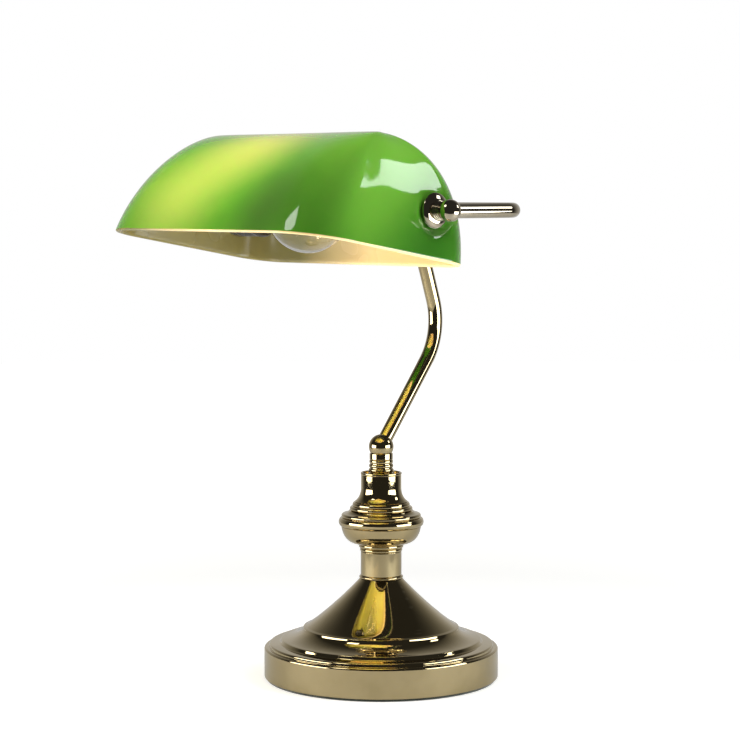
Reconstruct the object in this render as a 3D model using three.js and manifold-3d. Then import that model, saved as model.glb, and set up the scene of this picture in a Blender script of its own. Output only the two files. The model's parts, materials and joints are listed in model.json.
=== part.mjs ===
// Banker desk lamp: a weighted base, a turned brass column, a bent arm, a U-shaped yoke and a tilting glass shade.
// Millimetres, +Z up. The origin is the centre of the underside. +X runs along the shade, and the shade looks to -Y.
import * as THREE from "three";
import { mergeVertices } from "three/addons/utils/BufferGeometryUtils.js";
import Module from "manifold-3d";

const wasm = await Module();
wasm.setup();

// ---------- driving dimensions ----------
const GAP = 0.3; // between faces that touch
const FIT = 0.3; // radial clearance of a pin in its hole

// base
const BASE_RADIUS = 82.1;
const BASE_WALL = 1.5;
const PAD_THICKNESS = 1.5;
const PAD_INSET = 1.6;
const BALLAST_HEIGHT = 15.5;
const BALLAST_CLEARANCE = 0.8;
const WALL_TOP = 19.4; // height where the upright wall starts to round over
// the stepped mouldings and their underside, as the inset from the rim and the height over WALL_TOP
const MOULDINGS = [
  [0.8, 2.3],
  [2.8, 3.3],
  [3.5, 5.3],
  [8.1, 6.1],
  [11.5, 7.1],
  [12.5, 8.8],
  [18.1, 9.9],
  [23.6, 12.0],
  [27.3, 16.0],
  [27.7, 16.9],
  [29.1, 17.4],
];
const MOULDINGS_INSIDE = [
  [26.1, 10.4],
  [13.7, 6.6],
  [11.5, 4.6],
  [5.1, 3.2],
];
const BELL_TOP = 70.4;
const BELL_TOP_LEDGE = 0.7; // how far the bell's flat top stands out past the neck
const POCKET_CLEARANCE = 2; // round the washer, in the underside of the weight
const CHANNEL_CLEARANCE = 1.5; // beside the cord's channel through the weight
const CHANNEL_ROOF = 1.2;

// pipe that clamps the column together, with its nut
const PIPE_RADIUS = 5.0;
const PIPE_WALL = 1.5;
const PIPE_FOOT = 6.5;
const PIPE_END = 0.5; // of the pipe, left standing below its nut
const PIPE_REACH = 1.9; // of the pipe, into the arm's ball
const NUT_WALL = 3.5; // from the pipe to each flat
const NUT_HEIGHT = 4.2;
const WASHER_MARGIN = 5.5; // beyond the pipe
const WASHER_THICKNESS = 1.2;

// cord inlet
const BUSH_RADIUS = 4.2;
const BUSH_WALL = 1.2;
const BUSH_LEDGE = 2.0; // how far its flange covers the shell round the hole
const BUSH_FLANGE = 1.4;
const BUSH_LENGTH = 4.6;
const BUSH_HEIGHT = 9.0;

// column
const NECK_RADIUS = 14.3;
const NECK_WALL = 2.0;
const NECK_LENGTH = 16.7;
const SPIGOT_HEIGHT = 1.8; // of the rings that centre the neck from inside
const SEAT_RING_HEIGHT = 1.8;
const FOOT_BEAD_HEIGHT = 5.0;
const BOWL_RADIUS = 28.0;
const BOWL_HEIGHT = 12.2;
const BOWL_WALL = 1.6;
const RIM_RING_RADIUS = 29.8;
const RIM_RING_HEIGHT = 5.7;
const STEP_RING_RADIUS = 28.1;
const STEP_RING_HEIGHT = 4.4;
const UPPER_RING_RADIUS = 22.0;
const UPPER_RING_HEIGHT = 5.8;
const COLLAR_RADIUS = 14.2;
const COLLAR_HEIGHT = 20.8;
const COLLAR_RECESS = 3.0;
const COLLAR_LIP = 1.2;
const COUPLING_HEIGHT = 15.8;
const COUPLING_RADIUS = 8.2;
const COUPLING_RIBS = 4;
const COUPLING_RIB_PITCH = 3.0;
const COUPLING_RIB_DEPTH = 1.3;
const COUPLING_RIB_TAPER = 0.25;

// arm, yoke and their fittings
const TUBE_RADIUS = 5.0;
const TUBE_WALL = 1.1;
const WIRE_WAY_SHOULDER = 0.9; // that stops the tube's end, inside the tube's bore
const ARM_LEAN = 38.2 * THREE.MathUtils.DEG2RAD; // of the lower leg, backwards
const ARM_LEG = 98.4; // from the ball's centre to the knee's corner
const ARM_HEAD_LEAN = 39 * THREE.MathUtils.DEG2RAD; // of the head, forwards
const ARM_HEAD = 37;
const KNEE_BEND = 46;
const HEAD_BEND = 160;
const YOKE_REACH = 71.4; // from the knob axis back to the yoke's bar
const YOKE_BEND = 18;
// the balls, each larger than the tube by its wall, with sockets and seats that follow the tube
const ARM_BALL_WALL = 3.7;
const TEE_WALL = 4.0;
const ELBOW_WALL = 2.4;
const armBallRadius = TUBE_RADIUS + ARM_BALL_WALL;
const armBallSeat = TUBE_RADIUS - 0.5; // from the ball's centre down to its flat seat
const armSocket = TUBE_RADIUS - 0.4;
const teeRadius = TUBE_RADIUS + TEE_WALL;
const teeSeat = TUBE_RADIUS + 1.0;
const elbowRadius = TUBE_RADIUS + ELBOW_WALL;
const elbowSeat = TUBE_RADIUS + 0.4;
const elbowSocket = TUBE_RADIUS - 0.25;
const tubeBore = TUBE_RADIUS - TUBE_WALL;
const wireWay = tubeBore - WIRE_WAY_SHOULDER;

// knob axis, on which the shade tilts
const PIVOT_Y = -54.1;
const PIVOT_Z = 328.5;
const NIPPLE_RADIUS = 4.0;
const NIPPLE_WALL = 1.5;
const NIPPLE_INSERT = 3.7; // how far the nipple reaches into the ball
const NIPPLE_PAST_NUT = 2.2;
const NIPPLE_IN_HOLDER = 3.9;
const CAP_LENGTH = 7.8;
const CAP_MARGIN = 1.2; // of the cap's rim beyond the fibre washer
const CAP_RIBS = 3;
const CAP_RIB_PITCH = 1.2;
const CAP_RIB_DEPTH = 0.6;
const CAP_RIB_TAPER = 0.5;
const CAP_RIB_WALL = 2.4; // from the nipple to the widest rib's root
const SEAT_INSET = 5.0; // how far the shade's flat seats are drawn in from its ends
const SEAT_THICKNESS = 4.8;
const SEAT_MARGIN = 2.8; // of the glass seat beyond the fibre washer
const SHADE_HOLE_CLEARANCE = 1.3; // round the nipple
const FIBRE_THICKNESS = 0.8;
const FIBRE_MARGIN = 6.6; // of the fibre washer beyond the nipple
const SMALL_NUT_WALL = 2.5;
const SMALL_NUT_HEIGHT = 4.0;

// glass shade, in its own frame: the pivot is the origin and the rim is level
const SHADE_TILT = 9.5 * THREE.MathUtils.DEG2RAD; // the front lip up at rest
const SHADE_GLASS = 4.0;
const SHADE_HALF_LENGTH = 104.4;
const SHADE_FRONT = 111.6;
const SHADE_BACK = 42.2;
const SHADE_DROP = 31.8; // from the pivot down to the rim
const SHADE_HEIGHT = 78.0;
const SHADE_FRONT_CORNER = 34;
const SHADE_BACK_CORNER = 25;
const RIDGE_INSET = 31.4; // of the ridge's ends, from the ends of the rim
const RIDGE_Y = -31;
const SHADE_LEVELS = 8;
const SHADE_CLOSE = 0.95; // share of the rise at which the small flat on top starts
// fullness of the wall's curve and its lean at the rim, towards the front, the back and an end
const FRONT_CURVE = { power: 1.6, lean: 16 * THREE.MathUtils.DEG2RAD };
const BACK_CURVE = { power: 2.6, lean: 6 * THREE.MathUtils.DEG2RAD };
const END_CURVE = { power: 2.0, lean: 4 * THREE.MathUtils.DEG2RAD };

// lampholder and bulb, on the knob axis at the far end
const BULB_RADIUS = 30;
const BULB_LENGTH = 96;
const BULB_GLASS = 0.9;
const BULB_SHOULDER = 25 * THREE.MathUtils.DEG2RAD; // where the globe leaves its round for the neck
const BULB_CAP_RADIUS = 13.1;
const BULB_CAP_LENGTH = 17.5;
const BULB_CAP_WALL = 0.6;
const BULB_NECK_INSERT = 5; // of the glass neck, into the cap
const BULB_NECK_BARE = 1.5; // of the neck, left straight in front of the cap
const BUTTON_HEIGHT = 1.1;
const BUTTON_RADIUS = 4.7;
const INSULATOR_HEIGHT = 2.0;
const STEM_FOOT = 14; // from the globe's centre
const FILAMENT_SPREAD = 11;
const FILAMENT_RADIUS = 0.45;
const THREAD_CLEARANCE = 1.0; // between the bulb's cap and the screw shell, as radii
const SHELL_WALL = 0.6;
const SHELL_LENGTH = 20.5;
const SHELL_TO_HOLDER = 4.5; // from the screw shell out to the holder's outside
const HOLDER_WALL = 1.6;
const HOLDER_CAP_LENGTH = 11.2;
const HOLDER_SLEEVE_LENGTH = 21.7;
const HOLDER_LIP = 1.2; // clearance of the sleeve's turned-in mouth round the screw shell
const HOLDER_DISC_DEPTH = 5.2; // from the cap's outer face in to the disc
const HOLDER_DISC_THICKNESS = 3.0;
const CONTACT_HEAD = 1.5;
const CONTACT_HEAD_RADIUS = 3.6;
const CONTACT_STEM_RADIUS = 2.0;
const CONTACT_END = 0.6; // of the contact's stem, past the disc

// ---------- materials ----------
const material = (color, roughness, metalness) =>
  new THREE.MeshStandardMaterial({ color, roughness, metalness });
const brass = () => material(0xc9b27c, 0.12, 1.0);
const steel = () => material(0xb9bcc0, 0.35, 1.0);
const castIron = () => material(0x3a3a3c, 0.7, 0.8);
const felt = () => material(0x1d2320, 0.95, 0.0);
const rubber = () => material(0x161616, 0.8, 0.0);
const fibre = () => material(0x6b3a26, 0.8, 0.0);
const greenGlass = () => material(0x4aa31c, 0.08, 0.0);
const bakelite = () => material(0x121212, 0.35, 0.0);
const ceramic = () => material(0xe8e4da, 0.4, 0.0);
const clearGlass = () => material(0xe9eef0, 0.05, 0.0);
const tinned = () => material(0xc6c8c9, 0.3, 1.0);
const tungsten = () => material(0x77716a, 0.5, 1.0);

// ---------- shaping ----------
const group = new THREE.Group();

function place(name, geometry, finish, parent = group) {
  const mesh = new THREE.Mesh(geometry, finish);
  mesh.name = name;
  parent.add(mesh);
  return mesh;
}

// A solid turned about +Z. The profile is [radius, height] points, anticlockwise.
function turned(profile, sides = 24) {
  const points = profile.map(([radius, height]) => new THREE.Vector2(radius, height));
  if (points[0].x > 0) points.push(points[0].clone());
  return new THREE.LatheGeometry(points, sides).rotateX(Math.PI / 2);
}

// The same, turned about the knob axis; heights are distances from the lamp's middle, on one side.
function turnedOnPivot(profile, side, sides = 20) {
  return turned(profile, sides)
    .rotateY((side * Math.PI) / 2)
    .translate(0, PIVOT_Y, PIVOT_Z);
}

// Points of a round bead that bulges outwards between two heights at one radius.
function bead(radius, low, high, depth, steps = 3) {
  const points = [];
  for (let i = 0; i <= steps; i++) {
    const angle = Math.PI * (i / steps - 0.5);
    const middle = (low + high) / 2;
    const half = (high - low) / 2;
    points.push([radius + depth * Math.cos(angle), middle + half * Math.sin(angle)]);
  }
  return points;
}

function hexNut(acrossFlats, hole, low, high) {
  const corner = acrossFlats / Math.sqrt(3);
  const outline = new THREE.Shape();
  for (let i = 0; i < 6; i++) {
    const angle = (i * Math.PI) / 3;
    if (i === 0) outline.moveTo(corner, 0);
    else outline.lineTo(corner * Math.cos(angle), corner * Math.sin(angle));
  }
  outline.closePath();
  outline.holes.push(new THREE.Path().absarc(0, 0, hole, 0, 2 * Math.PI));
  const options = { depth: high - low, bevelEnabled: false, curveSegments: 10 };
  return new THREE.ExtrudeGeometry(outline, options).translate(0, 0, low);
}

// A round bar between two points, used as a cutter.
function rod(radius, from, to, sides = 12) {
  const along = new THREE.Vector3().subVectors(to, from);
  const turn = new THREE.Quaternion().setFromUnitVectors(
    new THREE.Vector3(0, 1, 0),
    along.clone().normalize(),
  );
  const middle = new THREE.Vector3().addVectors(from, to).multiplyScalar(0.5);
  return new THREE.CylinderGeometry(radius, radius, along.length(), sides)
    .applyQuaternion(turn)
    .translate(middle.x, middle.y, middle.z);
}

function ballAt(radius, centre, sides = 16) {
  return new THREE.SphereGeometry(radius, sides, Math.round(sides * 0.6)).translate(
    centre.x,
    centre.y,
    centre.z,
  );
}

function solid(geometry) {
  const bare = geometry.clone();
  bare.deleteAttribute("normal");
  bare.deleteAttribute("uv");
  const merged = mergeVertices(bare);
  const mesh = new wasm.Mesh({
    numProp: 3,
    vertProperties: merged.attributes.position.array,
    triVerts: new Uint32Array(merged.index.array),
  });
  return new wasm.Manifold(mesh);
}

function geometryOf(shape) {
  const mesh = shape.getMesh();
  const geometry = new THREE.BufferGeometry();
  geometry.setAttribute("position", new THREE.BufferAttribute(mesh.vertProperties, 3));
  geometry.setIndex(new THREE.BufferAttribute(mesh.triVerts, 1));
  return geometry;
}

function cut(geometry, ...cutters) {
  const left = cutters.reduce((shape, cutter) => shape.subtract(solid(cutter)), solid(geometry));
  return geometryOf(left);
}

// A path of straight runs, with a round bend of its own radius at each inner corner.
class BentPath extends THREE.Curve {
  constructor(corners, bends, bendSteps) {
    super();
    this.stations = [corners[0].clone()];
    for (let i = 1; i < corners.length - 1; i++) {
      this.addBend(corners[i - 1], corners[i], corners[i + 1], bends[i - 1], bendSteps);
    }
    this.stations.push(corners.at(-1).clone());
  }

  addBend(before, corner, after, radius, steps) {
    const back = new THREE.Vector3().subVectors(before, corner);
    const ahead = new THREE.Vector3().subVectors(after, corner);
    const half = back.angleTo(ahead) / 2;
    const reach = Math.min(radius / Math.tan(half), 0.49 * back.length(), 0.49 * ahead.length());
    const bend = reach * Math.tan(half);
    back.normalize();
    ahead.normalize();
    const inward = new THREE.Vector3().addVectors(back, ahead).normalize();
    const centre = corner.clone().addScaledVector(inward, bend / Math.sin(half));
    const sweep = Math.PI - 2 * half;
    const across = inward.clone().negate();
    const forward = new THREE.Vector3().subVectors(ahead, back).normalize();
    for (let i = 0; i <= steps; i++) {
      const angle = sweep * (i / steps - 0.5);
      const point = centre.clone().addScaledVector(across, bend * Math.cos(angle));
      this.stations.push(point.addScaledVector(forward, bend * Math.sin(angle)));
    }
  }

  getPoint(t) {
    const place = t * (this.stations.length - 1);
    const index = Math.min(Math.floor(place), this.stations.length - 2);
    return this.stations[index].clone().lerp(this.stations[index + 1], place - index);
  }

  getUtoTmapping(u) {
    return u;
  }

  get steps() {
    return this.stations.length - 1;
  }
}

function bentTube(path, radius, bore, segments = 6) {
  const section = new THREE.Shape().absarc(0, 0, radius, 0, 2 * Math.PI);
  if (bore > 0) section.holes.push(new THREE.Path().absarc(0, 0, bore, 0, 2 * Math.PI));
  return new THREE.ExtrudeGeometry(section, {
    steps: path.steps,
    curveSegments: segments,
    bevelEnabled: false,
    extrudePath: path,
  });
}

// ---------- base ----------
const pipeHole = PIPE_RADIUS + FIT;
const pipeBore = PIPE_RADIUS - PIPE_WALL;
const shellFoot = PAD_THICKNESS + GAP;
const ballastTop = shellFoot + BALLAST_HEIGHT;
const ballastRadius = BASE_RADIUS - BASE_WALL - BALLAST_CLEARANCE;
const bellTopRadius = NECK_RADIUS + BELL_TOP_LEDGE;
const nutTop = PIPE_FOOT + PIPE_END + NUT_HEIGHT;
const washerTop = nutTop + GAP + WASHER_THICKNESS;
const washerRadius = PIPE_RADIUS + WASHER_MARGIN;

function makeBase() {
  const padRadius = BASE_RADIUS - PAD_INSET;
  const pad = new THREE.CylinderGeometry(padRadius, padRadius, PAD_THICKNESS, 44)
    .rotateX(Math.PI / 2)
    .translate(0, 0, PAD_THICKNESS / 2);
  place("felt_pad", pad, felt());

  const pocket = washerRadius + POCKET_CLEARANCE;
  const weight = turned(
    [
      [pocket, shellFoot],
      [ballastRadius, shellFoot],
      [ballastRadius, ballastTop - 2],
      [ballastRadius - 3, ballastTop],
      [pipeHole, ballastTop],
      [pipeHole, washerTop + GAP],
      [pocket, washerTop + GAP],
    ],
    36,
  );
  const channelWidth = 2 * (BUSH_RADIUS + FIT + CHANNEL_CLEARANCE);
  const channelTop = BUSH_HEIGHT + BUSH_RADIUS + CHANNEL_ROOF;
  const channel = new THREE.BoxGeometry(channelWidth, BASE_RADIUS, channelTop).translate(
    0,
    BASE_RADIUS / 2,
    channelTop / 2,
  );
  place("ballast_weight", cut(weight, channel), castIron());

  const stepIn = ([inset, rise]) => [BASE_RADIUS - inset, WALL_TOP + rise];
  const outer = [[BASE_RADIUS, shellFoot], [BASE_RADIUS, WALL_TOP], ...MOULDINGS.map(stepIn)];
  // the bell sweeps from the upper moulding's lip to its small flat top
  const lip = outer.at(-1);
  const bell = new THREE.CubicBezierCurve(
    new THREE.Vector2(...lip),
    new THREE.Vector2(lip[0] - 9.6, lip[1] + 5.2),
    new THREE.Vector2(bellTopRadius + 9.2, BELL_TOP - 9.2),
    new THREE.Vector2(bellTopRadius, BELL_TOP),
  );
  const bellPoints = bell.getPoints(7).slice(1);
  const inner = [
    [pipeHole, BELL_TOP],
    [pipeHole, BELL_TOP - BASE_WALL],
    [bellTopRadius - 2.2, BELL_TOP - BASE_WALL],
    ...bellPoints
      .slice(0, -1)
      .filter((_, i) => i % 2 === 1)
      .reverse()
      .map((point) => [point.x - BASE_WALL, point.y - BASE_WALL]),
    [lip[0] - BASE_WALL, lip[1] - BASE_WALL],
    ...MOULDINGS_INSIDE.map(stepIn),
    [BASE_RADIUS - BASE_WALL, WALL_TOP],
    [BASE_RADIUS - BASE_WALL, shellFoot],
  ];
  const shell = turned([...outer, ...bellPoints.map((point) => [point.x, point.y]), ...inner], 40);
  const inlet = rod(
    BUSH_RADIUS + FIT,
    new THREE.Vector3(0, BASE_RADIUS - 8, BUSH_HEIGHT),
    new THREE.Vector3(0, BASE_RADIUS + 8, BUSH_HEIGHT),
  );
  place("base_shell", cut(shell, inlet), brass());

  const flangeFoot = BASE_RADIUS + GAP;
  const bushBore = BUSH_RADIUS - BUSH_WALL;
  const flangeRadius = BUSH_RADIUS + BUSH_LEDGE;
  const bush = turned(
    [
      [bushBore, flangeFoot - BUSH_LENGTH],
      [BUSH_RADIUS, flangeFoot - BUSH_LENGTH],
      [BUSH_RADIUS, flangeFoot],
      [flangeRadius, flangeFoot],
      [flangeRadius, flangeFoot + 0.6 * BUSH_FLANGE],
      [flangeRadius - 0.8, flangeFoot + BUSH_FLANGE],
      [bushBore, flangeFoot + BUSH_FLANGE],
    ],
    20,
  )
    .rotateX(-Math.PI / 2)
    .translate(0, 0, BUSH_HEIGHT);
  place("cord_bush", bush, rubber());

  const washer = turned(
    [
      [pipeHole, nutTop + GAP],
      [washerRadius, nutTop + GAP],
      [washerRadius, washerTop],
      [pipeHole, washerTop],
    ],
    24,
  );
  place("base_washer", washer, steel());
  const acrossFlats = 2 * (PIPE_RADIUS + NUT_WALL);
  place("base_nut", hexNut(acrossFlats, pipeHole, nutTop - NUT_HEIGHT, nutTop), steel());
}

// ---------- column: every turned piece stands on the one below ----------
const seatRingFoot = BELL_TOP + GAP;
const neckFoot = seatRingFoot + SEAT_RING_HEIGHT + GAP;
const footBeadFoot = neckFoot + NECK_LENGTH + GAP;
const bowlFoot = footBeadFoot + FOOT_BEAD_HEIGHT + GAP;
const rimRingFoot = bowlFoot + BOWL_HEIGHT + GAP;
const stepRingFoot = rimRingFoot + RIM_RING_HEIGHT + GAP;
const upperRingFoot = stepRingFoot + STEP_RING_HEIGHT + GAP;
const collarFoot = upperRingFoot + UPPER_RING_HEIGHT + GAP;
const collarTop = collarFoot + COLLAR_HEIGHT;
const couplingFoot = collarTop - COLLAR_RECESS + GAP;
const couplingTop = couplingFoot + COUPLING_HEIGHT;
const armBallFlat = couplingTop + GAP;
const armBall = new THREE.Vector3(0, 0, armBallFlat + armBallSeat);
const pipeTop = armBallFlat + PIPE_REACH;

function makeColumn() {
  const pipe = turned(
    [
      [pipeBore, PIPE_FOOT],
      [PIPE_RADIUS, PIPE_FOOT],
      [PIPE_RADIUS, pipeTop],
      [pipeBore, pipeTop],
    ],
    20,
  );
  place("threaded_pipe", pipe, steel());

  const spigot = NECK_RADIUS - NECK_WALL - FIT;
  const seatTop = seatRingFoot + SEAT_RING_HEIGHT;
  const seatRing = turned([
    [pipeHole, seatRingFoot],
    ...bead(NECK_RADIUS + 0.4, seatRingFoot, seatTop, 0.8),
    [spigot, seatTop],
    [spigot, seatTop + SPIGOT_HEIGHT],
    [pipeHole, seatTop + SPIGOT_HEIGHT],
  ]);
  place("seat_ring", seatRing, brass());

  const neck = turned([
    [NECK_RADIUS - NECK_WALL, neckFoot],
    [NECK_RADIUS, neckFoot],
    [NECK_RADIUS, neckFoot + NECK_LENGTH],
    [NECK_RADIUS - NECK_WALL, neckFoot + NECK_LENGTH],
  ]);
  place("neck_sleeve", neck, brass());

  const beadTop = footBeadFoot + FOOT_BEAD_HEIGHT;
  const footBead = turned([
    [pipeHole, footBeadFoot - SPIGOT_HEIGHT],
    [spigot, footBeadFoot - SPIGOT_HEIGHT],
    [spigot, footBeadFoot],
    ...bead(NECK_RADIUS, footBeadFoot, footBeadFoot + 2.1, 0.7),
    ...bead(NECK_RADIUS + 0.5, footBeadFoot + 2.3, beadTop, 1.0),
    [pipeHole, beadTop],
  ]);
  place("bowl_foot_bead", footBead, brass());

  const bowlOuter = new THREE.CubicBezierCurve(
    new THREE.Vector2(NECK_RADIUS + 1.9, bowlFoot),
    new THREE.Vector2(BOWL_RADIUS - 4.2, bowlFoot + 0.4),
    new THREE.Vector2(BOWL_RADIUS - 1.2, bowlFoot + 5.2),
    new THREE.Vector2(BOWL_RADIUS, bowlFoot + BOWL_HEIGHT),
  );
  const bowlPoints = bowlOuter.getPoints(6);
  const bowl = turned([
    [pipeHole, bowlFoot],
    ...bowlPoints.map((point) => [point.x, point.y]),
    [BOWL_RADIUS - BOWL_WALL, bowlFoot + BOWL_HEIGHT],
    [BOWL_RADIUS - BOWL_WALL - 1.4, bowlFoot + 0.5 * BOWL_HEIGHT],
    [NECK_RADIUS + 3.5, bowlFoot + BOWL_WALL + 0.6],
    [NECK_RADIUS, bowlFoot + BOWL_WALL],
    [pipeHole, bowlFoot + BOWL_WALL],
  ]);
  place("column_bowl", bowl, brass());

  const rimTop = rimRingFoot + RIM_RING_HEIGHT;
  const rimRing = turned([
    [pipeHole, rimRingFoot],
    ...bead(RIM_RING_RADIUS - 1.6, rimRingFoot, rimTop, 1.6, 4),
    [pipeHole, rimTop],
  ]);
  place("bowl_rim_ring", rimRing, brass());

  const stepTop = stepRingFoot + STEP_RING_HEIGHT;
  const stepRing = turned([
    [pipeHole, stepRingFoot],
    [STEP_RING_RADIUS - 0.4, stepRingFoot],
    [STEP_RING_RADIUS, stepRingFoot + 1.3],
    [STEP_RING_RADIUS - 0.5, stepRingFoot + 2.6],
    [STEP_RING_RADIUS - 2.0, stepRingFoot + 3.7],
    [STEP_RING_RADIUS - 5.0, stepTop],
    [pipeHole, stepTop],
  ]);
  place("step_ring", stepRing, brass());

  const upperTop = upperRingFoot + UPPER_RING_HEIGHT;
  const upperRing = turned([
    [pipeHole, upperRingFoot],
    [UPPER_RING_RADIUS - 0.5, upperRingFoot],
    [UPPER_RING_RADIUS, upperRingFoot + 1.4],
    [UPPER_RING_RADIUS - 0.2, upperRingFoot + 3.0],
    [UPPER_RING_RADIUS - 1.4, upperRingFoot + 4.6],
    [UPPER_RING_RADIUS - 3.2, upperTop],
    [pipeHole, upperTop],
  ]);
  place("upper_ring", upperRing, brass());

  const flare = new THREE.CubicBezierCurve(
    new THREE.Vector2(COLLAR_RADIUS + 4.4, collarFoot),
    new THREE.Vector2(COLLAR_RADIUS + 2.4, collarFoot + 1.6),
    new THREE.Vector2(COLLAR_RADIUS, collarFoot + 4.6),
    new THREE.Vector2(COLLAR_RADIUS, collarFoot + 9.5),
  );
  const collar = turned([
    [pipeHole, collarFoot],
    ...flare.getPoints(4).map((point) => [point.x, point.y]),
    [COLLAR_RADIUS, collarTop - 0.8],
    [COLLAR_RADIUS + 0.2, collarTop],
    [COLLAR_RADIUS - COLLAR_LIP, collarTop],
    [COLLAR_RADIUS - COLLAR_LIP - 0.2, collarTop - COLLAR_RECESS],
    [pipeHole, collarTop - COLLAR_RECESS],
  ]);
  place("collar_cup", collar, brass());

  const ribs = [];
  for (let i = 0; i < COUPLING_RIBS; i++) {
    const low = couplingFoot + i * COUPLING_RIB_PITCH;
    const depth = COUPLING_RIB_DEPTH - i * COUPLING_RIB_TAPER;
    ribs.push(...bead(COUPLING_RADIUS - 0.4, low, low + 0.85 * COUPLING_RIB_PITCH, depth));
  }
  const coupling = turned(
    [
      [pipeHole, couplingFoot],
      ...ribs,
      [COUPLING_RADIUS, couplingFoot + COUPLING_RIBS * COUPLING_RIB_PITCH],
      [COUPLING_RADIUS, couplingTop],
      [pipeHole, couplingTop],
    ],
    24,
  );
  place("ribbed_coupling", coupling, brass());
}

// ---------- arm and yoke ----------
const yokeBack = PIVOT_Y + YOKE_REACH;
const tee = new THREE.Vector3(0, yokeBack, PIVOT_Z);
const legDirection = new THREE.Vector3(0, Math.sin(ARM_LEAN), Math.cos(ARM_LEAN));
const headDirection = new THREE.Vector3(0, Math.sin(ARM_HEAD_LEAN), -Math.cos(ARM_HEAD_LEAN));

function makeArm() {
  const below = new THREE.Vector3(0, 0, armBallFlat - armBallRadius);
  const seatCut = rod(2 * armBallRadius, below, new THREE.Vector3(0, 0, armBallFlat));
  const pipeSocket = rod(pipeHole, below, new THREE.Vector3(0, 0, pipeTop + GAP));
  const tubeSocket = rod(
    TUBE_RADIUS + FIT,
    armBall.clone().addScaledVector(legDirection, armSocket),
    armBall.clone().addScaledVector(legDirection, 2 * armBallRadius),
  );
  const lowWay = rod(wireWay, new THREE.Vector3(0, 0, armBallFlat), armBall);
  const highWay = rod(
    wireWay,
    armBall.clone().addScaledVector(legDirection, -1),
    armBall.clone().addScaledVector(legDirection, armSocket + 1),
  );
  const ball = cut(
    ballAt(armBallRadius, armBall),
    seatCut,
    pipeSocket,
    tubeSocket,
    lowWay,
    highWay,
  );
  place("arm_ball", ball, brass());

  const path = new BentPath(
    [
      armBall.clone().addScaledVector(legDirection, armSocket + GAP),
      armBall.clone().addScaledVector(legDirection, ARM_LEG),
      tee.clone().addScaledVector(headDirection, ARM_HEAD),
      tee.clone().addScaledVector(headDirection, teeSeat + GAP),
    ],
    [KNEE_BEND, HEAD_BEND],
    8,
  );
  place("arm_tube", bentTube(path, TUBE_RADIUS, tubeBore), brass());
}

function makeYoke() {
  const along = new THREE.Vector3(1, 0, 0);
  const sockets = [along, along.clone().negate(), headDirection];
  const cutters = [];
  for (const direction of sockets) {
    const seat = tee.clone().addScaledVector(direction, teeSeat);
    const out = tee.clone().addScaledVector(direction, 2 * teeRadius);
    const inside = tee.clone().addScaledVector(direction, teeSeat + 1);
    cutters.push(rod(TUBE_RADIUS + FIT, seat, out));
    cutters.push(rod(wireWay, tee.clone().addScaledVector(direction, -1), inside));
  }
  place("yoke_tee", cut(ballAt(teeRadius, tee), ...cutters), brass());

  for (const [name, side] of [
    ["near", 1],
    ["far", -1],
  ]) {
    const path = new BentPath(
      [
        new THREE.Vector3(side * (teeSeat + GAP), yokeBack, PIVOT_Z),
        new THREE.Vector3(side * elbowX, yokeBack, PIVOT_Z),
        new THREE.Vector3(side * elbowX, PIVOT_Y + elbowSocket + GAP, PIVOT_Z),
      ],
      [YOKE_BEND],
      9,
    );
    place(`${name}_yoke_tube`, bentTube(path, TUBE_RADIUS, tubeBore), brass());
    makeKnob(name, side);
  }
}

// ---------- fittings at each end of the knob axis ----------
const nippleHole = NIPPLE_RADIUS + FIT;
const nippleBore = NIPPLE_RADIUS - NIPPLE_WALL;
const fibreRadius = NIPPLE_RADIUS + FIBRE_MARGIN;
const capRadius = fibreRadius + CAP_MARGIN;
const seatRadius = fibreRadius + SEAT_MARGIN;
const seatOut = SHADE_HALF_LENGTH - SEAT_INSET;
const outerFibre = seatOut + GAP;
const capFoot = outerFibre + FIBRE_THICKNESS + GAP;
const capTop = capFoot + CAP_LENGTH;
const elbowFlat = capTop + GAP;
const elbowX = elbowFlat + elbowSeat;
const nippleOuter = elbowFlat + NIPPLE_INSERT;
const seatIn = seatOut - SEAT_THICKNESS;
const innerFibreTop = seatIn - GAP;
const innerFitTop = innerFibreTop - FIBRE_THICKNESS - GAP; // where the nut or the lampholder starts

function disc(radius, hole, low, high) {
  return [
    [hole, low],
    [radius, low],
    [radius, high],
    [hole, high],
  ];
}

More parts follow.
